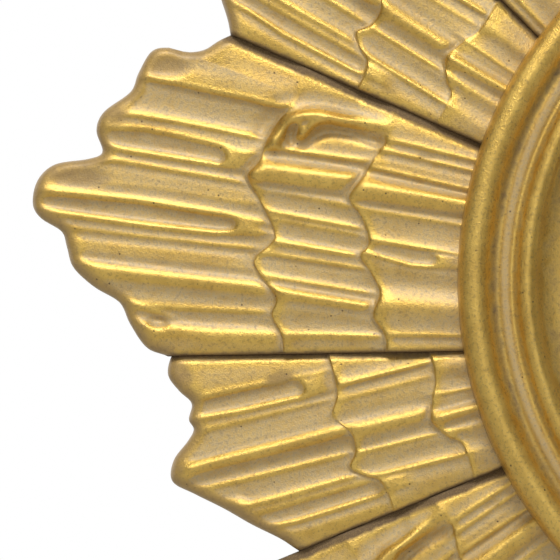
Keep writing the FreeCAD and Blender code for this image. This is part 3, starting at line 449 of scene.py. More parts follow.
# Where the step between two tiers is low, their flutes run on into each other.
MIX_SHARE = 0.5
MIX_REACH = 4.0
STEP_RUNOUT = 5.0

# The relief dies away towards the ray's scalloped edge, and partly towards a tier's end and its upper step.
EDGE_RELIEF = 0.1
EDGE_FLAT = 0.6
EDGE_FADE = 4.0
END_FLATTENING = 0.55
WALL_FLATTENING = 0.45
STEP_FADE = 2.5
SOFTENING = 3
LEAST_ROUND = 0.01

# The front rises towards its low side and falls towards its high side, which ends in a chamfer.
LOW_SIDE_RISE = 0.7
LOW_SIDE_REACH = 9.0
HIGH_SIDE_FALL = 1.0
HIGH_SIDE_REACH = 5.0
CHAMFER_SLOPE = 0.38

# The unevenness of hand work: (height, its lengths along u and v, how far the ray's axis shifts it).
HAND_WAVES = ((0.16, 7.3, 11.0, 1.0), (0.12, -13.0, 5.1, 0.0))

# Painted shadow below the steps, and dirt with painted shade along the seams, as (amount, reach), and the
# clean share of the chamfer. The outer edge is left matt.
STEP_SHADOW = (0.75, 0.45)
LOW_SIDE_DIRT_AND_SHADE = ((0.7, 0.7), (0.3, 3.0))
HIGH_SIDE_DIRT_AND_SHADE_REACH = 0.5
CHAMFER_DIRT_AND_SHADE_START = 0.3
MATT_EDGE = 1.2
MATT_FADE = 3.4


def tier_bands(pattern, shift, reach, low, high):
    """The mesh's radius and tier, row by row, from the ring out to the ray's edge, with its drawn lines."""
    shifts = (shift + reach, shift, shift)
    lines = [smooth_path(line, PATH_STEPS) + (out, 0.0) for line, out in zip(pattern.lines, shifts)]
    shares = np.linspace(0.0, 1.0, pattern.columns)
    edge, middle, inner = (crossing_radius(path, low, high, shares) for path in lines)
    starts = (np.full(shares.shape, TOP_R), inner + TIER_GAP, middle + TIER_GAP)
    bands = []
    for start, end, count in zip(starts, (inner, middle, edge), pattern.rows):
        f = np.linspace(0.0, 1.0, count)[:, None]
        f = f + ROW_EASE * np.sin(2 * np.pi * f)
        bands.append(start + (end - start) * f)
    tiers = [np.full(band.shape, tier) for tier, band in enumerate(bands)]
    return shares, np.vstack(bands), np.vstack(tiers), lines


class Blank:
    """A ray's front before it is carved: where each place lies and how far it is from each edge."""

    def __init__(self, pattern, setting, low_seam, high_seam):
        turn, shift, reach = setting
        self.axis = pattern.axis + turn
        self.low_seam, self.high_seam = low_seam, high_seam
        self.shares, self.radius, self.tier, lines = tier_bands(pattern, shift, reach, self.low, self.high)
        low, high = np.radians(self.low(self.radius)), np.radians(self.high(self.radius))
        angle = low + (high - low) * self.shares
        self.u, self.v = self.radius * np.cos(angle), self.radius * np.sin(angle)
        self.drawn_u = self.u - shift
        self.to_low, self.to_high = self.radius * (angle - low), self.radius * (high - angle)
        self.outer = self.tier == OUTER
        self.set_steps(pattern, lines)

    def low(self, radius):
        return seam_angle(*self.low_seam, radius) - self.axis + np.degrees(HALF_SEAM / radius)

    def high(self, radius):
        return seam_angle(*self.high_seam, radius) - self.axis - np.degrees(HALF_SEAM / radius)

    def set_steps(self, pattern, lines):
        """Distances to the tier's end and to the step of the tier above, and how high those steps are."""
        to_edge, to_middle, to_inner = (distance_to(path, self.u, self.v) for path in lines)
        inner_step, middle_step = (np.interp(self.v, *zip(*steps)) for steps in pattern.steps)
        far, full = np.full(self.u.shape, FAR), np.ones(self.u.shape)
        self.to_end = np.choose(self.tier, [to_inner, to_middle, to_edge])
        self.to_wall = np.choose(self.tier, [far, to_inner, to_middle])
        self.end_step = np.choose(self.tier, [inner_step, middle_step, full])
        self.wall_step = np.choose(self.tier, [full, inner_step, middle_step])


def flutes_over_tiers(pattern, ray):
    """The height of each tier's own flutes, mixed with its neighbour's where the step between is low."""
    flutes = [fluting(lines, ray.drawn_u, ray.v) for lines in pattern.flutes]
    further = MIX_SHARE * (1 - ray.end_step) * np.exp(-ray.to_end / MIX_REACH) * (ray.tier < OUTER)
    nearer = MIX_SHARE * (1 - ray.wall_step) * np.exp(-ray.to_wall / MIX_REACH) * (ray.tier > 0)
    relief = np.choose(ray.tier, flutes) * (1 - further - nearer)
    relief += further * np.choose(ray.tier, [flutes[1], flutes[2], flutes[2]])
    return relief + nearer * np.choose(ray.tier, [flutes[0], flutes[0], flutes[1]])


def relief_of(pattern, ray):
    """The height of the carving on the ray's slope, and how far each place belongs to a lobe."""
    relief = pattern.details(ray.drawn_u, ray.v, flutes_over_tiers(pattern, ray))
    relief = close_flute_ends(pattern.flute_ends, ray.drawn_u, ray.v, relief)
    lobed = np.zeros(relief.shape)
    for *oval, height in pattern.lobes:
        share = dish(ray.drawn_u, ray.v, *oval)
        relief = relief * (1 - share) + height * share
        lobed = np.maximum(lobed, share)
    at_edge = EDGE_RELIEF + (1 - EDGE_RELIEF) * ease((ray.to_end - EDGE_FLAT) / EDGE_FADE)
    at_end = 1 - END_FLATTENING * ray.end_step * (1 - ease(ray.to_end / STEP_FADE))
    relief *= np.where(ray.outer, at_edge, at_end)
    relief *= 1 - WALL_FLATTENING * ray.wall_step * (1 - ease(ray.to_wall / STEP_FADE))
    return RELIEF * spread(relief, SOFTENING), lobed


def front_height(pattern, ray, relief):
    """How far each place of the front stands out from the wall."""
    chamfer = pattern.seam[0]
    f = (ray.radius - TOP_R) / (TIP_R - TOP_R)
    w = TOP_AT_RING + (TOP_AT_TIP - TOP_AT_RING) * f - TIER_STEP * ray.tier + relief
    w += TIER_STEP * (1 - ray.wall_step) * np.exp(-ray.to_wall / STEP_RUNOUT)
    w -= quarter_round(ray.to_end, np.where(ray.outer, EDGE_ROUND, STEP_ROUND * ray.end_step + LEAST_ROUND))
    w += LOW_SIDE_RISE * np.exp(-ray.to_low / LOW_SIDE_REACH) - quarter_round(ray.to_low, SIDE_ROUND)
    w -= HIGH_SIDE_FALL * np.exp(-ray.to_high / HIGH_SIDE_REACH)
    w -= CHAMFER_SLOPE * chamfer * (1 - ease(ray.to_high / chamfer))
    for height, along, across, shifted in HAND_WAVES:
        w += height * np.sin(ray.u / along + ray.v / across + shifted * pattern.axis)
    return w


def dirt_and_shade_of(pattern, ray):
    """Painted shadow below the steps, and dirt with painted shade along both seams, from 0 to 1."""
    chamfer, chamfer_dirt_and_shade = pattern.seam
    # Painted shadow at the foot of the step of the tier above.
    amount, reach = STEP_SHADOW
    dirt_and_shade = amount * ray.wall_step * np.exp(-ray.to_wall / reach)
    # Dirt and painted shade along the low seam, then along the high seam's chamfer and edge.
    for amount, reach in LOW_SIDE_DIRT_AND_SHADE:
        dirt_and_shade += amount * np.exp(-np.maximum(ray.to_low, 0) / reach)
    dirt_and_shade += chamfer_dirt_and_shade * (1 - ease((ray.to_high - CHAMFER_DIRT_AND_SHADE_START * chamfer) / chamfer))
    dirt_and_shade += (1 - chamfer_dirt_and_shade) * np.exp(-np.maximum(ray.to_high, 0) / HIGH_SIDE_DIRT_AND_SHADE_REACH)
    return np.clip(dirt_and_shade, 0.0, 1.0)


def carve(pattern, setting, low_seam, high_seam):
    """The places and finish of a ray's front, with the land under the ring: arrays over rows and columns."""
    ray = Blank(pattern, setting, low_seam, high_seam)
    relief, lobed = relief_of(pattern, ray)
    matt = ray.outer * np.maximum(lobed, 1 - ease((ray.to_end - MATT_EDGE) / MATT_FADE))
    land = np.array([np.full(ray.shares.shape, ROOT_R), np.full(ray.shares.shape, LAND_R)])
    angle = np.radians(ray.low(land) + (ray.high(land) - ray.low(land)) * ray.shares)
    u = np.vstack([land * np.cos(angle), ray.u])
    v = np.vstack([land * np.sin(angle), ray.v])
    w = np.vstack([np.full(land.shape, LAND_W), front_height(pattern, ray, relief)])
    # The land rows under the ring are painted fully dark, as shade under the ring; the rest carries dirt and
    # painted shade.
    grime_and_shade = np.vstack([np.ones(land.shape), dirt_and_shade_of(pattern, ray)])
    return u, v, w, grime_and_shade, np.vstack([np.zeros(land.shape), matt])


# ---------------------------------------------------------------- meshes
def deselect_all():
    for o in bpy.context.selected_objects:
        o.select_set(False)


def start_edit(mode):
    bpy.ops.object.mode_set(mode="EDIT")
    bpy.ops.mesh.select_mode(type=mode)


def finish_object(name, body, material, smooth_angle):
    """Names a finished piece, shades it, gives it its material and joins it to its body."""
    piece = bpy.context.object
    piece.name = name
    piece.data.name = name
    piece.data.materials.clear()
    piece.data.materials.append(material)
    bpy.ops.object.shade_smooth_by_angle(angle=math.radians(smooth_angle))
    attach(piece, body)
    return piece


def vertex_places(mesh):
    flat = np.empty(len(mesh.vertices) * 3)
    mesh.vertices.foreach_get("co", flat)
    return flat.reshape(-1, 3)


def add_measure(mesh, name, values):
    layer = mesh.attributes.new(name, "FLOAT", "POINT")
    layer.data.foreach_set("value", np.asarray(values, np.float32).ravel())


# The first rows lie on the land under the ring. Pale dust has gathered against the ring.
LAND_ROWS = 2
DUST_AT_RING = 0.35
DUST_REACH = 4.0
SURROUNDINGS = 30
FULL_HOLLOW = 0.7
RAY_SMOOTH_ANGLE = 42


def hollow_of(u, v, w):
    """How far each place lies below its surroundings, and in the dust, from -1 to 1."""
    carved = w[LAND_ROWS:]
    hollow = (spread(carved, SURROUNDINGS) - carved) / FULL_HOLLOW
    hollow += DUST_AT_RING * np.exp(-(np.hypot(u, v)[LAND_ROWS:] - TOP_R) / DUST_REACH)
    return np.vstack([np.zeros(w[:LAND_ROWS].shape), np.clip(hollow, -1.0, 1.0)])


def close_back():
    """Draws the front's rim back to the board and closes it with one flat face."""
    start_edit("EDGE")
    bpy.ops.mesh.select_all(action="DESELECT")
    bpy.ops.mesh.select_non_manifold()
    bpy.ops.mesh.extrude_region_move()
    bpy.ops.transform.resize(value=(1, 0, 1), center_override=(0, -RAY_BACK * MM, 0))
    bpy.ops.mesh.edge_face_add()
    bpy.ops.mesh.select_all(action="SELECT")
    bpy.ops.mesh.normals_make_consistent(inside=False)
    bpy.ops.object.mode_set(mode="OBJECT")


def make_ray(name, pattern, setting, low_seam, high_seam, front, back):
    """A grid carved to the ray's front, its rim drawn back to the board and its back closed."""
    u, v, w, grime_and_shade, matt = carve(pattern, setting, low_seam, high_seam)
    rows, columns = u.shape
    deselect_all()
    bpy.ops.mesh.primitive_grid_add(x_subdivisions=columns - 1, y_subdivisions=rows - 1, size=1.0)
    mesh = bpy.context.object.data
    flat = vertex_places(mesh)
    column = np.rint((flat[:, 0] + 0.5) * (columns - 1)).astype(int)
    row = np.rint((flat[:, 1] + 0.5) * (rows - 1)).astype(int)
    axis = math.radians(pattern.axis + setting[0])
    x = -(u * math.cos(axis) - v * math.sin(axis))
    z = u * math.sin(axis) + v * math.cos(axis)
    places = np.stack([x, -w, z], axis=-1)[row, column] * MM
    mesh.vertices.foreach_set("co", places.ravel())
    for measure, values in (("hollow", hollow_of(u, v, w)), ("grime_and_shade", grime_and_shade), ("matt", matt)):
        add_measure(mesh, measure, values[row, column])
    close_back()
    piece = finish_object(name, "clock_case", front, RAY_SMOOTH_ANGLE)
    mesh.materials.append(back)
    max(mesh.polygons, key=lambda face: face.area).material_index = 1
    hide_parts(name.replace("carved_", ""))


# ---------------------------------------------------------------- the turned ring
# The ring's front from its outer edge inwards, as (radius, w), drawn through with a smooth line.
RING_FRONT = (
    (122.4, 35.8), (121.9, 38.1), (120.3, 40.2), (117.4, 41.25), (114.7, 40.0), (113.0, 37.9), (111.9, 36.8),
    (110.7, 36.5), (109.3, 37.1), (107.9, 37.1), (106.5, 36.75), (105.1, 37.9), (104.0, 39.4), (101.9, 40.35),
    (99.9, 39.2), (98.7, 37.3), (97.7, 36.0), (96.3, 34.8), (94.4, 33.8), (92.0, 33.2), (87.5, 32.7),
)
RING_BACK = ((87.5, 31.5), (92.5, 31.5), (92.5, 20.0), (122.4, 20.0))
FRONT_STEPS = 5
RING_TURNS = 300
RING_FRONT_W = 31.6
RING_SMOOTH_ANGLE = 50

# The ring's finish, in bands of (amount, radius, width): a chalky fillet, painted shade in the grooves and on
# the outer flank, a dull film.
RING_CHALK = ((0.62, 108.6, 1.7),)
RING_SHADE = ((0.62, 111.9, 1.9), (0.56, 105.6, 1.0), (0.4, 122.6, 1.0))
RING_FILM = ((0.3, 109.2, 1.6),)
RING_RUBBING = 0.42
# The cove is painted darker towards the dial, as shade.
COVE_SHADE = 0.45
COVE_R = 99.0
COVE_FADE = 2.0


def ring_outline():
    """Points round the ring's section, closed."""
    return np.vstack([smooth_path(RING_FRONT, FRONT_STEPS), np.array(RING_BACK)])


def spun(outline, turns):
    """A closed section of (radius, w) points spun once round the hand axis."""
    deselect_all()
    bpy.ops.mesh.primitive_circle_add(vertices=len(outline), radius=1.0)
    mesh = bpy.context.object.data
    places = np.stack([-outline[:, 0], -outline[:, 1], np.zeros(len(outline))], axis=-1) * MM
    mesh.vertices.foreach_set("co", places.ravel())
    start_edit("EDGE")
    bpy.ops.mesh.select_all(action="SELECT")
    bpy.ops.mesh.spin(steps=turns, angle=2 * math.pi, center=(0, 0, 0), axis=(0, 1, 0))
    bpy.ops.mesh.select_all(action="SELECT")
    bpy.ops.mesh.remove_doubles(threshold=0.00001)
    bpy.ops.mesh.normals_make_consistent(inside=False)
    bpy.ops.object.mode_set(mode="OBJECT")
    return bpy.context.object


def in_bands(bands, radius):
    return sum(amount * hump(radius, middle, width) for amount, middle, width in bands)


def make_ring(material):
    """The gilt ring that frames the dial, with painted shade in its grooves, on its outer flank and down its
    cove, and a worn fillet.
    """
    mesh = spun(ring_outline(), RING_TURNS).data
    flat = vertex_places(mesh) / MM
    radius = np.hypot(flat[:, 0], flat[:, 2])
    front = flat[:, 1] < -RING_FRONT_W
    cove = COVE_SHADE * ease((COVE_R - radius) / COVE_FADE)
    add_measure(mesh, "hollow", front * in_bands(RING_CHALK, radius) - RING_RUBBING)
    # Painted shade in the grooves, on the outer flank and down the cove.
    add_measure(mesh, "grime_and_shade", front * (in_bands(RING_SHADE, radius) + cove))
    add_measure(mesh, "matt", front * in_bands(RING_FILM, radius))
    piece = finish_object("turned_ring", "clock_case", material, RING_SMOOTH_ANGLE)
    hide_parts("ring_moulding")


# ---------------------------------------------------------------- materials
def new_material(name):
    material = bpy.data.materials.new(name)
    material.use_nodes = True
    tree = material.node_tree
    return material, tree, tree.nodes["Principled BSDF"]


def add_node(tree, kind, **values):
    """A node with its plain settings and the values of its named inputs."""
    node = tree.nodes.new("ShaderNode" + kind)
    for key, value in values.items():
        if hasattr(node, key):
            setattr(node, key, value)
        else:
            node.inputs[key.replace("_", " ").title()].default_value = value
    return node


def link(tree, source, target):
    tree.links.new(source, target)


def object_place(tree, stretch=(1.0, 1.0, 1.0)):
    coordinates = add_node(tree, "TexCoord")
    mapping = add_node(tree, "Mapping")
    mapping.inputs["Scale"].default_value = stretch
    link(tree, coordinates.outputs["Object"], mapping.inputs["Vector"])
    return mapping.outputs["Vector"]


def noise(tree, place, scale, detail=4.0, roughness=0.55):
    node = add_node(tree, "TexNoise", scale=scale, detail=detail, roughness=roughness)
    link(tree, place, node.inputs["Vector"])
    return node.outputs["Fac"]


def span(tree, value, low, high, to_low=0.0, to_high=1.0):
    """A value stretched from one range to another and held inside it."""
    node = add_node(tree, "MapRange")
    node.inputs["From Min"].default_value = low
    node.inputs["From Max"].default_value = high
    node.inputs["To Min"].default_value = to_low
    node.inputs["To Max"].default_value = to_high
    link(tree, value, node.inputs["Value"])
    return node.outputs["Result"]


def maths(tree, operation, a, b):
    node = add_node(tree, "Math", operation=operation)
    for socket, value in zip(node.inputs, (a, b)):
        if isinstance(value, (int, float)):
            socket.default_value = value
        else:
            link(tree, value, socket)
    return node.outputs["Value"]


def blend_colours(tree, share, a, b):
    node = add_node(tree, "Mix", data_type="RGBA")
    for key, value in (("A", a), ("B", b)):
        socket = [s for s in node.inputs if s.name == key and s.type == "RGBA"][0]
        if isinstance(value, tuple):
            socket.default_value = (*value, 1.0)
        else:
            link(tree, value, socket)
    factor = [s for s in node.inputs if s.name == "Factor" and s.type == "VALUE"][0]
    if isinstance(share, (int, float)):
        factor.default_value = share
    else:
        link(tree, share, factor)
    return [s for s in node.outputs if s.type == "RGBA"][0]


def measure_of(tree, name):
    node = add_node(tree, "Attribute", attribute_name=name)
    return node.outputs["Fac"]


def dress(tree, shader, colour, roughness, surface):
    """Joins a finish's colour, roughness and raised surface to its shader."""
    for name, source in (("Base Color", colour), ("Roughness", roughness), ("Normal", surface)):
        link(tree, source, shader.inputs[name])


def raised(tree, height, strength, depth, under=None):
    node = add_node(tree, "Bump")
    node.inputs["Strength"].default_value = strength
    node.inputs["Distance"].default_value = depth
    link(tree, height, node.inputs["Height"])
    if under is not None:
        link(tree, under, node.inputs["Normal"])
    return node.outputs["Normal"]


GOLD_BRIGHT = (0.82, 0.55, 0.125)
GOLD_DEEP = (0.52, 0.285, 0.038)
CHALK = (0.60, 0.46, 0.24)
UMBER = (0.40, 0.255, 0.085)
# Browns of the dirt and the painted shade in the seams, under the steps and in the ring's grooves.
SHADE_AND_GRIME_BROWN = (0.17, 0.105, 0.045)
SHADE_AND_GRIME_GREY = (0.25, 0.165, 0.065)
PIT_BROWN = (0.13, 0.08, 0.03)
SPECK_BROWN = (0.30, 0.19, 0.07)

# How fine the gilt's marks are, as noise scales from the broadest clouds to the finest grain.
CLOUD_SCALE = 38.0
MOTTLE_SCALE = 230.0
PIT_SCALE = 300.0
DUST_SCALE = 1100.0
GRAIN_SCALE = 2400.0
GOLD_METAL = 0.92
COAT = 0.5
COAT_ROUGHNESS = 0.36


def pits_of(tree, place):
    """Scattered small round pits, where only some of the cells have one."""
    cells = add_node(tree, "TexVoronoi", scale=PIT_SCALE)
    link(tree, place, cells.inputs["Vector"])
    chosen = add_node(tree, "SeparateXYZ")
    link(tree, cells.outputs["Color"], chosen.inputs["Vector"])
    spot = span(tree, cells.outputs["Distance"], 0.05, 0.11, 1.0, 0.0)
    return maths(tree, "MULTIPLY", spot, span(tree, chosen.outputs["X"], 0.72, 0.80))


def gold_colour(tree, cloud, mottle, hollow):
    """The gold under the wear, painted darker in its hollows as shade and lighter on its crests as a
    highlight.
    """
    tone = maths(tree, "ADD", maths(tree, "MULTIPLY", cloud, 0.45), maths(tree, "MULTIPLY", mottle, 0.55))
    # Painted shade in the hollows and a painted highlight on the crests.
    tone = maths(tree, "SUBTRACT", tone, span(tree, hollow, -0.3, 0.5, -0.12, 0.10))
    return blend_colours(tree, span(tree, tone, 0.25, 0.70), GOLD_DEEP, GOLD_BRIGHT)


def gilt_gloss(tree, shader, mottle, hollow, dull, dirt_and_shade):
    """Satin metal, smoother where it is rubbed and dull under dust, dirt and painted shade, below a soft
    coat.
    """
    link(tree, maths(tree, "SUBTRACT", GOLD_METAL, dull), shader.inputs["Metallic"])
    rough = span(tree, mottle, 0.35, 0.65, 0.37, 0.47)
    rough = maths(tree, "ADD", rough, maths(tree, "MULTIPLY", dull, 0.25))
    rubbed = span(tree, hollow, -0.45, -0.15, -0.07, 0.0)
    link(tree, maths(tree, "ADD", rough, rubbed), shader.inputs["Roughness"])
    clean = maths(tree, "SUBTRACT", 1.0, dirt_and_shade)
    link(tree, maths(tree, "MULTIPLY", clean, COAT), shader.inputs["Coat Weight"])
    shader.inputs["Coat Roughness"].default_value = COAT_ROUGHNESS


def gilt_finish(name):
    """Satin gold paint, rubbed smooth and painted lighter on the crests as a highlight, chalky and painted
    darker in the hollows as shade, with dirt and painted shade in the seams.
    """
    material, tree, shader = new_material(name)
    place = object_place(tree)
    cloud = noise(tree, place, CLOUD_SCALE, 5.0)
    mottle = noise(tree, place, MOTTLE_SCALE, 6.0, 0.6)
    dust = noise(tree, place, DUST_SCALE, 4.0, 0.65)
    grain = noise(tree, place, GRAIN_SCALE, 3.0, 0.6)
    pit = pits_of(tree, place)
    hollow, grime_and_shade, matt = (measure_of(tree, measure) for measure in ("hollow", "grime_and_shade", "matt"))

    chalk = maths(tree, "MULTIPLY", span(tree, hollow, -0.22, 0.18), span(tree, mottle, 0.3, 0.62, 0.65, 1.0))
    chalk = maths(tree, "MULTIPLY", chalk, span(tree, dust, 0.40, 0.58, 0.55, 1.0))
    film = maths(tree, "MULTIPLY", matt, span(tree, mottle, 0.3, 0.6, 0.55, 0.95))
    speck = span(tree, dust, 0.52, 0.66, 0.0, 0.5)
    # Dirt and painted shade in the seams, under the steps and in the ring's grooves, broken up by the mottle.
    dirt_and_shade = span(tree, maths(tree, "ADD", grime_and_shade, span(tree, mottle, 0.3, 0.7, -0.26, 0.24)), 0.25, 0.85)
    dirt_and_shade_colour = blend_colours(tree, span(tree, grain, 0.5, 0.62), SHADE_AND_GRIME_BROWN, SHADE_AND_GRIME_GREY)
    layers = (chalk, CHALK), (film, UMBER), (speck, SPECK_BROWN), (dirt_and_shade, dirt_and_shade_colour), (pit, PIT_BROWN)
    colour = gold_colour(tree, cloud, mottle, hollow)
    for share, over in layers:
        colour = blend_colours(tree, share, colour, over)
    link(tree, colour, shader.inputs["Base Color"])

    dull = maths(tree, "MAXIMUM", maths(tree, "MULTIPLY", chalk, 0.75), maths(tree, "MULTIPLY", film, 0.7))
    dull = maths(tree, "MAXIMUM", dull, maths(tree, "MULTIPLY", dirt_and_shade, 0.9))
    gilt_gloss(tree, shader, mottle, hollow, dull, dirt_and_shade)
    coarse = raised(tree, maths(tree, "SUBTRACT", mottle, maths(tree, "MULTIPLY", pit, 0.6)), 0.30, 0.0005)
    link(tree, raised(tree, maths(tree, "ADD", grain, dust), 0.5, 0.0003, coarse), shader.inputs["Normal"])
    return material


# How fast the grain of the rays' backs changes with distance outwards, and with direction.
GRAIN_ALONG = 0.08
GRAIN_ROUND = 0.2


def outward_place(tree):
    """Object places drawn out along the rays, so that a noise makes grain that runs outwards."""
    place = object_place(tree)
    outward = add_node(tree, "VectorMath", operation="NORMALIZE")
    link(tree, place, outward.inputs[0])
    stretched = add_node(tree, "VectorMath", operation="MULTIPLY_ADD")
    link(tree, place, stretched.inputs[0])
    stretched.inputs[1].default_value = (GRAIN_ALONG, GRAIN_ALONG, GRAIN_ALONG)
    spread_out = add_node(tree, "VectorMath", operation="SCALE")
    link(tree, outward.outputs["Vector"], spread_out.inputs[0])
    spread_out.inputs["Scale"].default_value = GRAIN_ROUND
    link(tree, spread_out.outputs["Vector"], stretched.inputs[2])
    return stretched.outputs["Vector"]


def bare_wood(name, pale, dark, outward=False):
    """Plain sawn wood, with its grain along the height or outwards from the centre."""
    material, tree, shader = new_material(name)
    place = outward_place(tree) if outward else object_place(tree, (1.0, 1.0, 0.12))
    figure = noise(tree, place, 110.0, 7.0, 0.6)
    fibre = noise(tree, place, 900.0, 4.0)
    colour = blend_colours(tree, span(tree, figure, 0.38, 0.62), dark, pale)
    dress(tree, shader, colour, span(tree, fibre, 0.3, 0.7, 0.6, 0.8), raised(tree, fibre, 0.3, 0.0003))
    return material


# Each finish: its pale and dark colours, metal, least and most roughness, scales of its mottling and grain,
# and bump.
PLAIN_FINISHES = {
    "steel": ((0.60, 0.60, 0.57), (0.42, 0.41, 0.38), 1.0, (0.22, 0.42), 260.0, 2200.0, 0.15),
    "iron": ((0.36, 0.36, 0.37), (0.22, 0.21, 0.21), 1.0, (0.35, 0.55), 320.0, 1800.0, 0.25),
    "brass": ((0.78, 0.57, 0.22), (0.52, 0.34, 0.11), 1.0, (0.20, 0.38), 240.0, 1600.0, 0.15),
    "dark_metal": ((0.030, 0.028, 0.026), (0.014, 0.013, 0.012), 0.2, (0.30, 0.48), 150.0, 1800.0, 0.2),
    "black_plastic": ((0.030, 0.030, 0.032), (0.018, 0.018, 0.019), 0.0, (0.38, 0.58), 90.0, 1400.0, 0.35),
    "white_plastic": ((0.80, 0.78, 0.71), (0.70, 0.67, 0.58), 0.0, (0.32, 0.48), 120.0, 1300.0, 0.2),
    "rubber": ((0.040, 0.039, 0.037), (0.022, 0.021, 0.020), 0.0, (0.65, 0.85), 200.0, 1100.0, 0.5),
    "card": ((0.050, 0.20, 0.075), (0.030, 0.13, 0.050), 0.0, (0.28, 0.45), 300.0, 1900.0, 0.2),
    "magnet": ((0.16, 0.16, 0.165), (0.09, 0.09, 0.095), 0.6, (0.40, 0.60), 280.0, 1500.0, 0.35),
}


def plain_finish(name):
    """A two-toned finish with uneven gloss and a fine raised grain."""
    pale, dark, metal, gloss, mottling, graining, bump = PLAIN_FINISHES[name]
    material, tree, shader = new_material(name + "_finish")
    place = object_place(tree)
    mottle = noise(tree, place, mottling, 5.0)
    grain = noise(tree, place, graining, 3.0)
    colour = blend_colours(tree, span(tree, mottle, 0.35, 0.65), dark, pale)
    shader.inputs["Metallic"].default_value = metal
    dress(tree, shader, colour, span(tree, mottle, 0.3, 0.7, *gloss), raised(tree, grain, bump, 0.0002))
    return material


def axis_of(tree, place, axis):
    parts = add_node(tree, "SeparateXYZ")
    link(tree, place, parts.inputs["Vector"])
    return parts.outputs[axis]


# Pale and dark wood, and the ply's glue lines.
BIRCH = ((0.56, 0.41, 0.25), (0.43, 0.29, 0.16))
RAY_WOOD = ((0.42, 0.27, 0.14), (0.27, 0.16, 0.08))
GLUE_BROWN = (0.20, 0.12, 0.06)


def plywood():
    """Birch ply: long grain on its faces, and darker glue lines round its edge."""
    material = bare_wood("birch_plywood", *BIRCH)
    tree = material.node_tree
    shader = tree.nodes["Principled BSDF"]
    face_colour = shader.inputs["Base Color"].links[0].from_socket
    waves = add_node(tree, "TexWave", wave_type="BANDS", bands_direction="Y", scale=175.0, distortion=0.6)
    link(tree, object_place(tree), waves.inputs["Vector"])
    glue = span(tree, waves.outputs["Fac"], 0.80, 0.95, 0.0, 0.7)
    link(tree, blend_colours(tree, glue, face_colour, GLUE_BROWN), shader.inputs["Base Color"])
    return material


WIRE_DARK = (0.42, 0.13, 0.045)
WIRE_BRIGHT = (0.66, 0.26, 0.10)


def winding():
    """Fine enamelled copper wire laid side by side."""
    material, tree, shader = new_material("enamelled_wire")
    place = object_place(tree)
    mottle = noise(tree, place, 300.0)
    waves = add_node(tree, "TexWave", wave_type="BANDS", bands_direction="X", scale=1500.0, distortion=1.5)
    link(tree, place, waves.inputs["Vector"])
    colour = blend_colours(tree, span(tree, mottle, 0.3, 0.7), WIRE_DARK, WIRE_BRIGHT)
    shader.inputs["Metallic"].default_value = 0.85
    wires = raised(tree, waves.outputs["Fac"], 0.7, 0.0001)
    dress(tree, shader, colour, span(tree, mottle, 0.3, 0.7, 0.25, 0.4), wires)
    return material


# The cell lies along X. Where its copper band and its bare poles begin, and how soft their edges are.
BAND_X = 0.0148
POLE_X = 0.0240
BAND_BLEND = 0.0003
POLE_BLEND = 0.0002
SLEEVE_DARK = (0.030, 0.032, 0.036)
SLEEVE_PALE = (0.052, 0.054, 0.060)
BAND_COPPER = (0.62, 0.30, 0.12)
POLE_METAL = (0.62, 0.61, 0.58)


def cell_jacket():
    """A dry cell's printed sleeve: dark grey, a copper-coloured end, and bare metal at the two poles."""
    material, tree, shader = new_material("cell_jacket")
    place = object_place(tree)
    along = axis_of(tree, place, "X")
    mottle = noise(tree, place, 160.0)
    sleeve = blend_colours(tree, span(tree, mottle, 0.3, 0.7), SLEEVE_DARK, SLEEVE_PALE)
    band = span(tree, along, BAND_X, BAND_X + BAND_BLEND)
    colour = blend_colours(tree, band, sleeve, BAND_COPPER)
    near_pole = span(tree, along, POLE_X, POLE_X + POLE_BLEND)
    far_pole = span(tree, along, -POLE_X, -POLE_X - POLE_BLEND)
    pole = maths(tree, "ADD", near_pole, far_pole)
    colour = blend_colours(tree, pole, colour, POLE_METAL)
    link(tree, maths(tree, "MAXIMUM", pole, maths(tree, "MULTIPLY", band, 0.6)), shader.inputs["Metallic"])
    dress(tree, shader, colour, span(tree, mottle, 0.3, 0.7, 0.26, 0.4), raised(tree, mottle, 0.1, 0.0002))
    return material


DIAL_CREAM = (0.84, 0.79, 0.65)
DIAL_AGED = (0.68, 0.57, 0.37)
DIAL_SPOTS = (0.45, 0.31, 0.16)
AGED_FROM = 0.055
AGED_FULLY = 0.098


def dial_paper():
    """A cream dial, a little yellower and spotted with age towards its rim."""
    material, tree, shader = new_material("cream_dial")
    place = object_place(tree)
    cloud = noise(tree, place, 45.0, 6.0)
    fibre = noise(tree, place, 1600.0, 3.0)
    spots = noise(tree, place, 320.0, 3.0)
    length = add_node(tree, "VectorMath", operation="LENGTH")
    link(tree, place, length.inputs[0])
    rim = span(tree, length.outputs["Value"], AGED_FROM, AGED_FULLY, 0.0, 0.6)
    age = maths(tree, "MULTIPLY", rim, span(tree, cloud, 0.3, 0.7, 0.4, 1.0))
    colour = blend_colours(tree, age, DIAL_CREAM, DIAL_AGED)
    foxing = span(tree, spots, 0.70, 0.78, 0.0, 0.5)
    colour = blend_colours(tree, foxing, colour, DIAL_SPOTS)
    dress(tree, shader, colour, span(tree, cloud, 0.3, 0.7, 0.5, 0.66), raised(tree, fibre, 0.12, 0.0001))
    return material


INK_BLACK = (0.018, 0.016, 0.014)
INK_WORN = (0.085, 0.072, 0.055)


def printed_ink():
    """Black ink, a little worn."""
    material, tree, shader = new_material("printed_ink")
    place = object_place(tree)
    wear = noise(tree, place, 900.0, 5.0)
    colour = blend_colours(tree, span(tree, wear, 0.45, 0.75), INK_BLACK, INK_WORN)
    dress(tree, shader, colour, span(tree, wear, 0.3, 0.7, 0.45, 0.65), raised(tree, wear, 0.1, 0.00005))
    return material


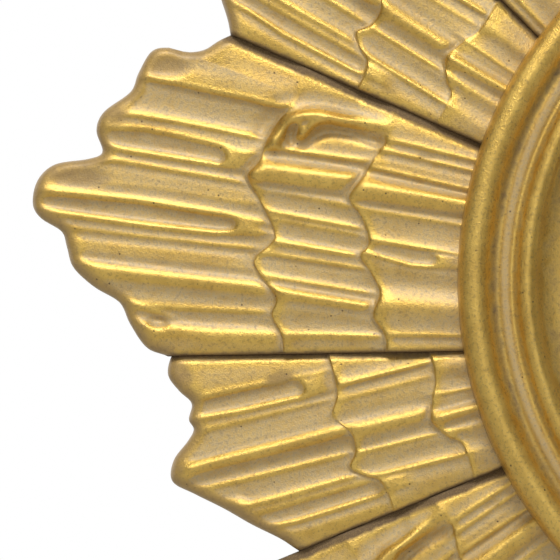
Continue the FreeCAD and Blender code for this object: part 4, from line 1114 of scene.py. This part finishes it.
def clear_glass():
    """Thin clear glass with faint smears, which lets light straight through."""
    material, tree, shader = new_material("clear_glass")
    place = object_place(tree)
    smear = noise(tree, place, 30.0, 6.0, 0.6)
    fine = noise(tree, place, 500.0, 4.0)
    shader.inputs["Base Color"].default_value = (0.93, 0.96, 0.95, 1.0)
    shader.inputs["Transmission Weight"].default_value = 1.0
    shader.inputs["IOR"].default_value = 1.45
    smeared, speckled = span(tree, smear, 0.45, 0.7, 0.01, 0.06), span(tree, fine, 0.3, 0.7, 0.6, 1.2)
    rough = maths(tree, "MULTIPLY", smeared, speckled)
    link(tree, rough, shader.inputs["Roughness"])
    link(tree, raised(tree, fine, 0.02, 0.0001), shader.inputs["Normal"])
    shadow = add_node(tree, "LightPath")
    clear = add_node(tree, "BsdfTransparent")
    mix = add_node(tree, "MixShader")
    link(tree, shadow.outputs["Is Shadow Ray"], mix.inputs["Fac"])
    link(tree, shader.outputs["BSDF"], mix.inputs[1])
    link(tree, clear.outputs["BSDF"], mix.inputs[2])
    link(tree, mix.outputs["Shader"], tree.nodes["Material Output"].inputs["Surface"])
    return material


def finish_carried_nodes():
    """Gives each part of the frame the finish of its material slot."""
    finishes = {name: plain_finish(name) for name in PLAIN_FINISHES}
    finishes["board_wood"] = plywood()
    finishes["copper_wire"] = winding()
    finishes["cell"] = cell_jacket()
    finishes["dial_face"] = dial_paper()
    finishes["glass"] = clear_glass()
    for part in frame["record"]["subparts"]:
        node = NODES[part["node"]]
        finish = finishes.get(part["material_slot"])
        if finish is not None:
            for material_slot in node.material_slots:
                material_slot.material = finish


# ---------------------------------------------------------------- the dial's printing
PRINT_W = (20.0, 20.06)
HOUR_FIGURES = ("XII", "I", "II", "III", "IIII", "V", "VI", "VII", "VIII", "IX", "X", "XI")
HOUR_STEP = 30.0
MINUTE_STEP = 6.0
FIGURE_R = 70.0
FIGURE_HEIGHT = 13.0
STROKE_THICK = 2.3
STROKE_THIN = 0.9
STROKE_GAP = 3.9
LETTER_HALF = {"I": STROKE_GAP * 0.5, "V": STROKE_GAP * 0.92, "X": STROKE_GAP * 0.98}
LEAN = STROKE_GAP * 0.62
SERIF_HEIGHT = 0.6
SERIF_INSET = 0.6
TRACK_R = (80.6, 83.6)
MINUTE_WIDTH = 0.45
HOUR_MARK_WIDTH = 1.5
TRACK_LINE = 0.35
TRACK_TURNS = 240
PRINT_SMOOTH_ANGLE = 30


def bar(width, height, lean=0.0):
    """A printed bar, upright round the origin, with its top leaning to one side."""
    deselect_all()
    bpy.ops.mesh.primitive_cube_add(size=1.0)
    start_edit("VERT")
    bpy.ops.mesh.select_all(action="SELECT")
    depth = PRINT_W[1] - PRINT_W[0]
    bpy.ops.transform.resize(value=(width * MM, depth * MM, height * MM), center_override=(0, 0, 0))
    bpy.ops.transform.translate(value=(0, -(PRINT_W[0] + depth / 2) * MM, 0))
    bpy.ops.object.mode_set(mode="OBJECT")
    mesh = bpy.context.object.data
    for vertex in mesh.vertices:
        vertex.co.x += lean / 2 * MM * math.copysign(1.0, vertex.co.z)
    return bpy.context.object


def moved_bar(source, x, z, degrees, radius):
    """A copy with its own mesh, moved, stood out from the centre and turned clockwise round it."""
    copy = source.copy()
    copy.data = source.data.copy()
    bpy.context.collection.objects.link(copy)
    turn = math.radians(degrees)
    for vertex in copy.data.vertices:
        px, pz = vertex.co.x + x * MM, vertex.co.z + (z + radius) * MM
        vertex.co.x = px * math.cos(turn) + pz * math.sin(turn)
        vertex.co.z = -px * math.sin(turn) + pz * math.cos(turn)
    return copy


def letter_bars():
    """The bars that make each Roman letter, each with how far it stands aside."""
    stem = bar(STROKE_THICK, FIGURE_HEIGHT)
    v_thick, v_thin = bar(STROKE_THICK, FIGURE_HEIGHT, -LEAN), bar(STROKE_THIN, FIGURE_HEIGHT, LEAN)
    x_thick, x_thin = bar(STROKE_THICK, FIGURE_HEIGHT, -2 * LEAN), bar(STROKE_THIN, FIGURE_HEIGHT, 2 * LEAN)
    return {
        "I": ((stem, 0.0),),
        "V": ((v_thick, -LEAN / 2), (v_thin, LEAN / 2)),
        "X": ((x_thick, 0.0), (x_thin, 0.0)),
    }


def hour_figure(text, bars, turn):
    """The strokes of one Roman figure, between a serif line at its foot and one at its head."""
    width = 2 * sum(LETTER_HALF[letter] for letter in text)
    x = -width / 2
    marks = []
    for letter in text:
        for source, aside in bars[letter]:
            marks.append(moved_bar(source, x + LETTER_HALF[letter] + aside, 0.0, turn, FIGURE_R))
        x += 2 * LETTER_HALF[letter]
    serif = bar(width - SERIF_INSET, SERIF_HEIGHT)
    for end in (-1, 1):
        marks.append(moved_bar(serif, 0.0, end * FIGURE_HEIGHT / 2, turn, FIGURE_R))
    bpy.data.objects.remove(serif)
    return marks


def track_ticks(width, step, skipped):
    """Ticks round the minute track, without those that fall on a skipped step."""
    tick = bar(width, TRACK_R[1] - TRACK_R[0])
    middle = (TRACK_R[0] + TRACK_R[1]) / 2
    turns = [step * n for n in range(round(360.0 / step))]
    marks = [moved_bar(tick, 0.0, 0.0, turn, middle) for turn in turns if not skipped or turn % skipped]
    bpy.data.objects.remove(tick)
    return marks


def printed_ring(radius):
    """A fine printed circle."""
    near, far = radius - TRACK_LINE / 2, radius + TRACK_LINE / 2
    low, top = PRINT_W
    return spun(np.array([(near, low), (near, top), (far, top), (far, low)]), TRACK_TURNS)


def make_dial_marks(ink):
    """The hour figures and the minute track, printed on the dial."""
    bars = letter_bars()
    marks = []
    for hour, text in enumerate(HOUR_FIGURES):
        marks += hour_figure(text, bars, HOUR_STEP * hour)
    for strokes in bars.values():
        for source, _ in strokes:
            bpy.data.objects.remove(source)
    marks += track_ticks(MINUTE_WIDTH, MINUTE_STEP, HOUR_STEP) + track_ticks(HOUR_MARK_WIDTH, HOUR_STEP, None)
    marks += [printed_ring(radius) for radius in TRACK_R]
    deselect_all()
    for mark in marks:
        mark.select_set(True)
    bpy.context.view_layer.objects.active = marks[0]
    bpy.ops.object.join()
    finish_object("dial_figures_and_track", "clock_case", ink, PRINT_SMOOTH_ANGLE)


# ---------------------------------------------------------------- the rays
LARGE = Pattern(
    axis=5.0, lines=(LARGE_EDGE, LARGE_MIDDLE, LARGE_INNER),
    flutes=(LARGE_INNER_FLUTES, LARGE_MIDDLE_FLUTES, LARGE_OUTER_FLUTES), columns=210, rows=(56, 66, 112),
    details=large_ray_details, flute_ends=LARGE_FLUTE_ENDS, steps=LARGE_STEPS, lobes=LARGE_LOBES,
    # seam: the chamfer's width, and the share of dirt and painted shade on its slope.
    seam=(3.2, 1.0),
)
SMALL = Pattern(
    axis=-17.0, lines=(SMALL_EDGE, SMALL_MIDDLE, SMALL_INNER),
    flutes=(SMALL_INNER_FLUTES, SMALL_MIDDLE_FLUTES, SMALL_OUTER_FLUTES), columns=136, rows=(28, 64, 96),
    details=small_ray_details, flute_ends=SMALL_FLUTE_ENDS, steps=SMALL_STEPS, lobes=SMALL_LOBES,
    seam=(2.4, 0.55),
)


def make_rays(front):
    back = bare_wood("bare_ray_back", *RAY_WOOD, outward=True)
    for k in range(PAIRS):
        turn = RAY_PITCH * k
        low, high = (LOW_SEAM, turn + SEAM_SET[k][0]), (HIGH_SEAM, turn + SEAM_SET[k][1])
        before = (HIGH_SEAM, turn - RAY_PITCH + SEAM_SET[k - 1][1])
        large_set = (turn + LARGE_SET[k][0], LARGE_SET[k][1], 0.0)
        small_set = (turn + SMALL_SET[k][0], SMALL_SET[k][1], SMALL_REACH[k])
        make_ray(f"carved_large_ray_{k + 1}", LARGE, large_set, low, high, front, back)
        make_ray(f"carved_small_ray_{k + 1}", SMALL, small_set, before, low, front, back)


# ---------------------------------------------------------------- camera, light and floor
CAMERA_AIM = (-0.1755, -0.024, 0.0006)
CAMERA_DISTANCE = 1.5
CAMERA_ELEVATION = math.radians(-2.0)
VIEW_WIDTH = 0.168
SENSOR_WIDTH = 36.0
KEY_PLACE = (-0.30, -0.95, 1.35)
KEY_AIM = (-0.12, 0.0, 0.0)
KEY_COLOUR = (1.0, 0.98, 0.94)
KEY_SIZE = 0.6
KEY_POWER = 14.0
FLOOR_SIZE = 6.0
FLOOR_Z = -0.75
FLOOR_GREY = (0.62, 0.62, 0.61, 1.0)

# The room is brightest in front of the clock and a little above it, and white behind it.
SOFTBOX_SIDE = (-0.05, -0.88, 0.46)
ROOM_DARK = (0.035, 0.033, 0.030)
ROOM_GLOW = (0.84, 0.84, 0.84)
ROOM_WHITE = (1.0, 1.0, 1.0)


def make_camera():
    data = bpy.data.cameras.new("camera")
    camera = bpy.data.objects.new("camera", data)
    bpy.context.collection.objects.link(camera)
    towards = np.array((0.0, -math.cos(CAMERA_ELEVATION), math.sin(CAMERA_ELEVATION)))
    camera.location = np.array(CAMERA_AIM) + CAMERA_DISTANCE * towards
    camera.rotation_euler = (math.radians(90) - CAMERA_ELEVATION, 0.0, 0.0)
    data.sensor_width = SENSOR_WIDTH
    data.lens = SENSOR_WIDTH * CAMERA_DISTANCE / VIEW_WIDTH
    data.clip_start, data.clip_end = 0.05, 20.0
    bpy.context.scene.camera = camera


def make_key_light():
    data = bpy.data.lights.new("key", "AREA")
    data.shape = "DISK"
    data.size, data.energy, data.color = KEY_SIZE, KEY_POWER, KEY_COLOUR
    light = bpy.data.objects.new("key", data)
    light.location = KEY_PLACE
    light.rotation_mode = "QUATERNION"
    light.rotation_quaternion = (Vector(KEY_AIM) - Vector(KEY_PLACE)).to_track_quat("-Z", "Y")
    bpy.context.collection.objects.link(light)


def make_world():
    world = bpy.data.worlds.new("pale_room")
    bpy.context.scene.world = world
    world.use_nodes = True
    tree = world.node_tree
    background = tree.nodes["Background"]
    direction = add_node(tree, "TexCoord").outputs["Generated"]
    ahead = add_node(tree, "VectorMath", operation="DOT_PRODUCT")
    link(tree, direction, ahead.inputs[0])
    ahead.inputs[1].default_value = SOFTBOX_SIDE
    glow = span(tree, ahead.outputs["Value"], 0.30, 0.98)
    room = blend_colours(tree, glow, ROOM_DARK, ROOM_GLOW)
    behind = span(tree, axis_of(tree, direction, "Y"), -0.1, 0.35)
    link(tree, blend_colours(tree, behind, room, ROOM_WHITE), background.inputs["Color"])
    background.inputs["Strength"].default_value = 1.0


def make_floor():
    deselect_all()
    bpy.ops.mesh.primitive_plane_add(size=FLOOR_SIZE, location=(0, 0, FLOOR_Z))
    floor = bpy.context.object
    floor.name = "floor"
    material, _, shader = new_material("pale_floor")
    shader.inputs["Base Color"].default_value = FLOOR_GREY
    shader.inputs["Roughness"].default_value = 0.7
    floor.data.materials.append(material)


bpy.context.scene.view_settings.view_transform = "Standard"
gilt = gilt_finish("aged_gold_paint")
make_rays(gilt)
make_ring(gilt)
make_dial_marks(printed_ink())
finish_carried_nodes()
make_camera()
make_key_light()
make_world()
make_floor()
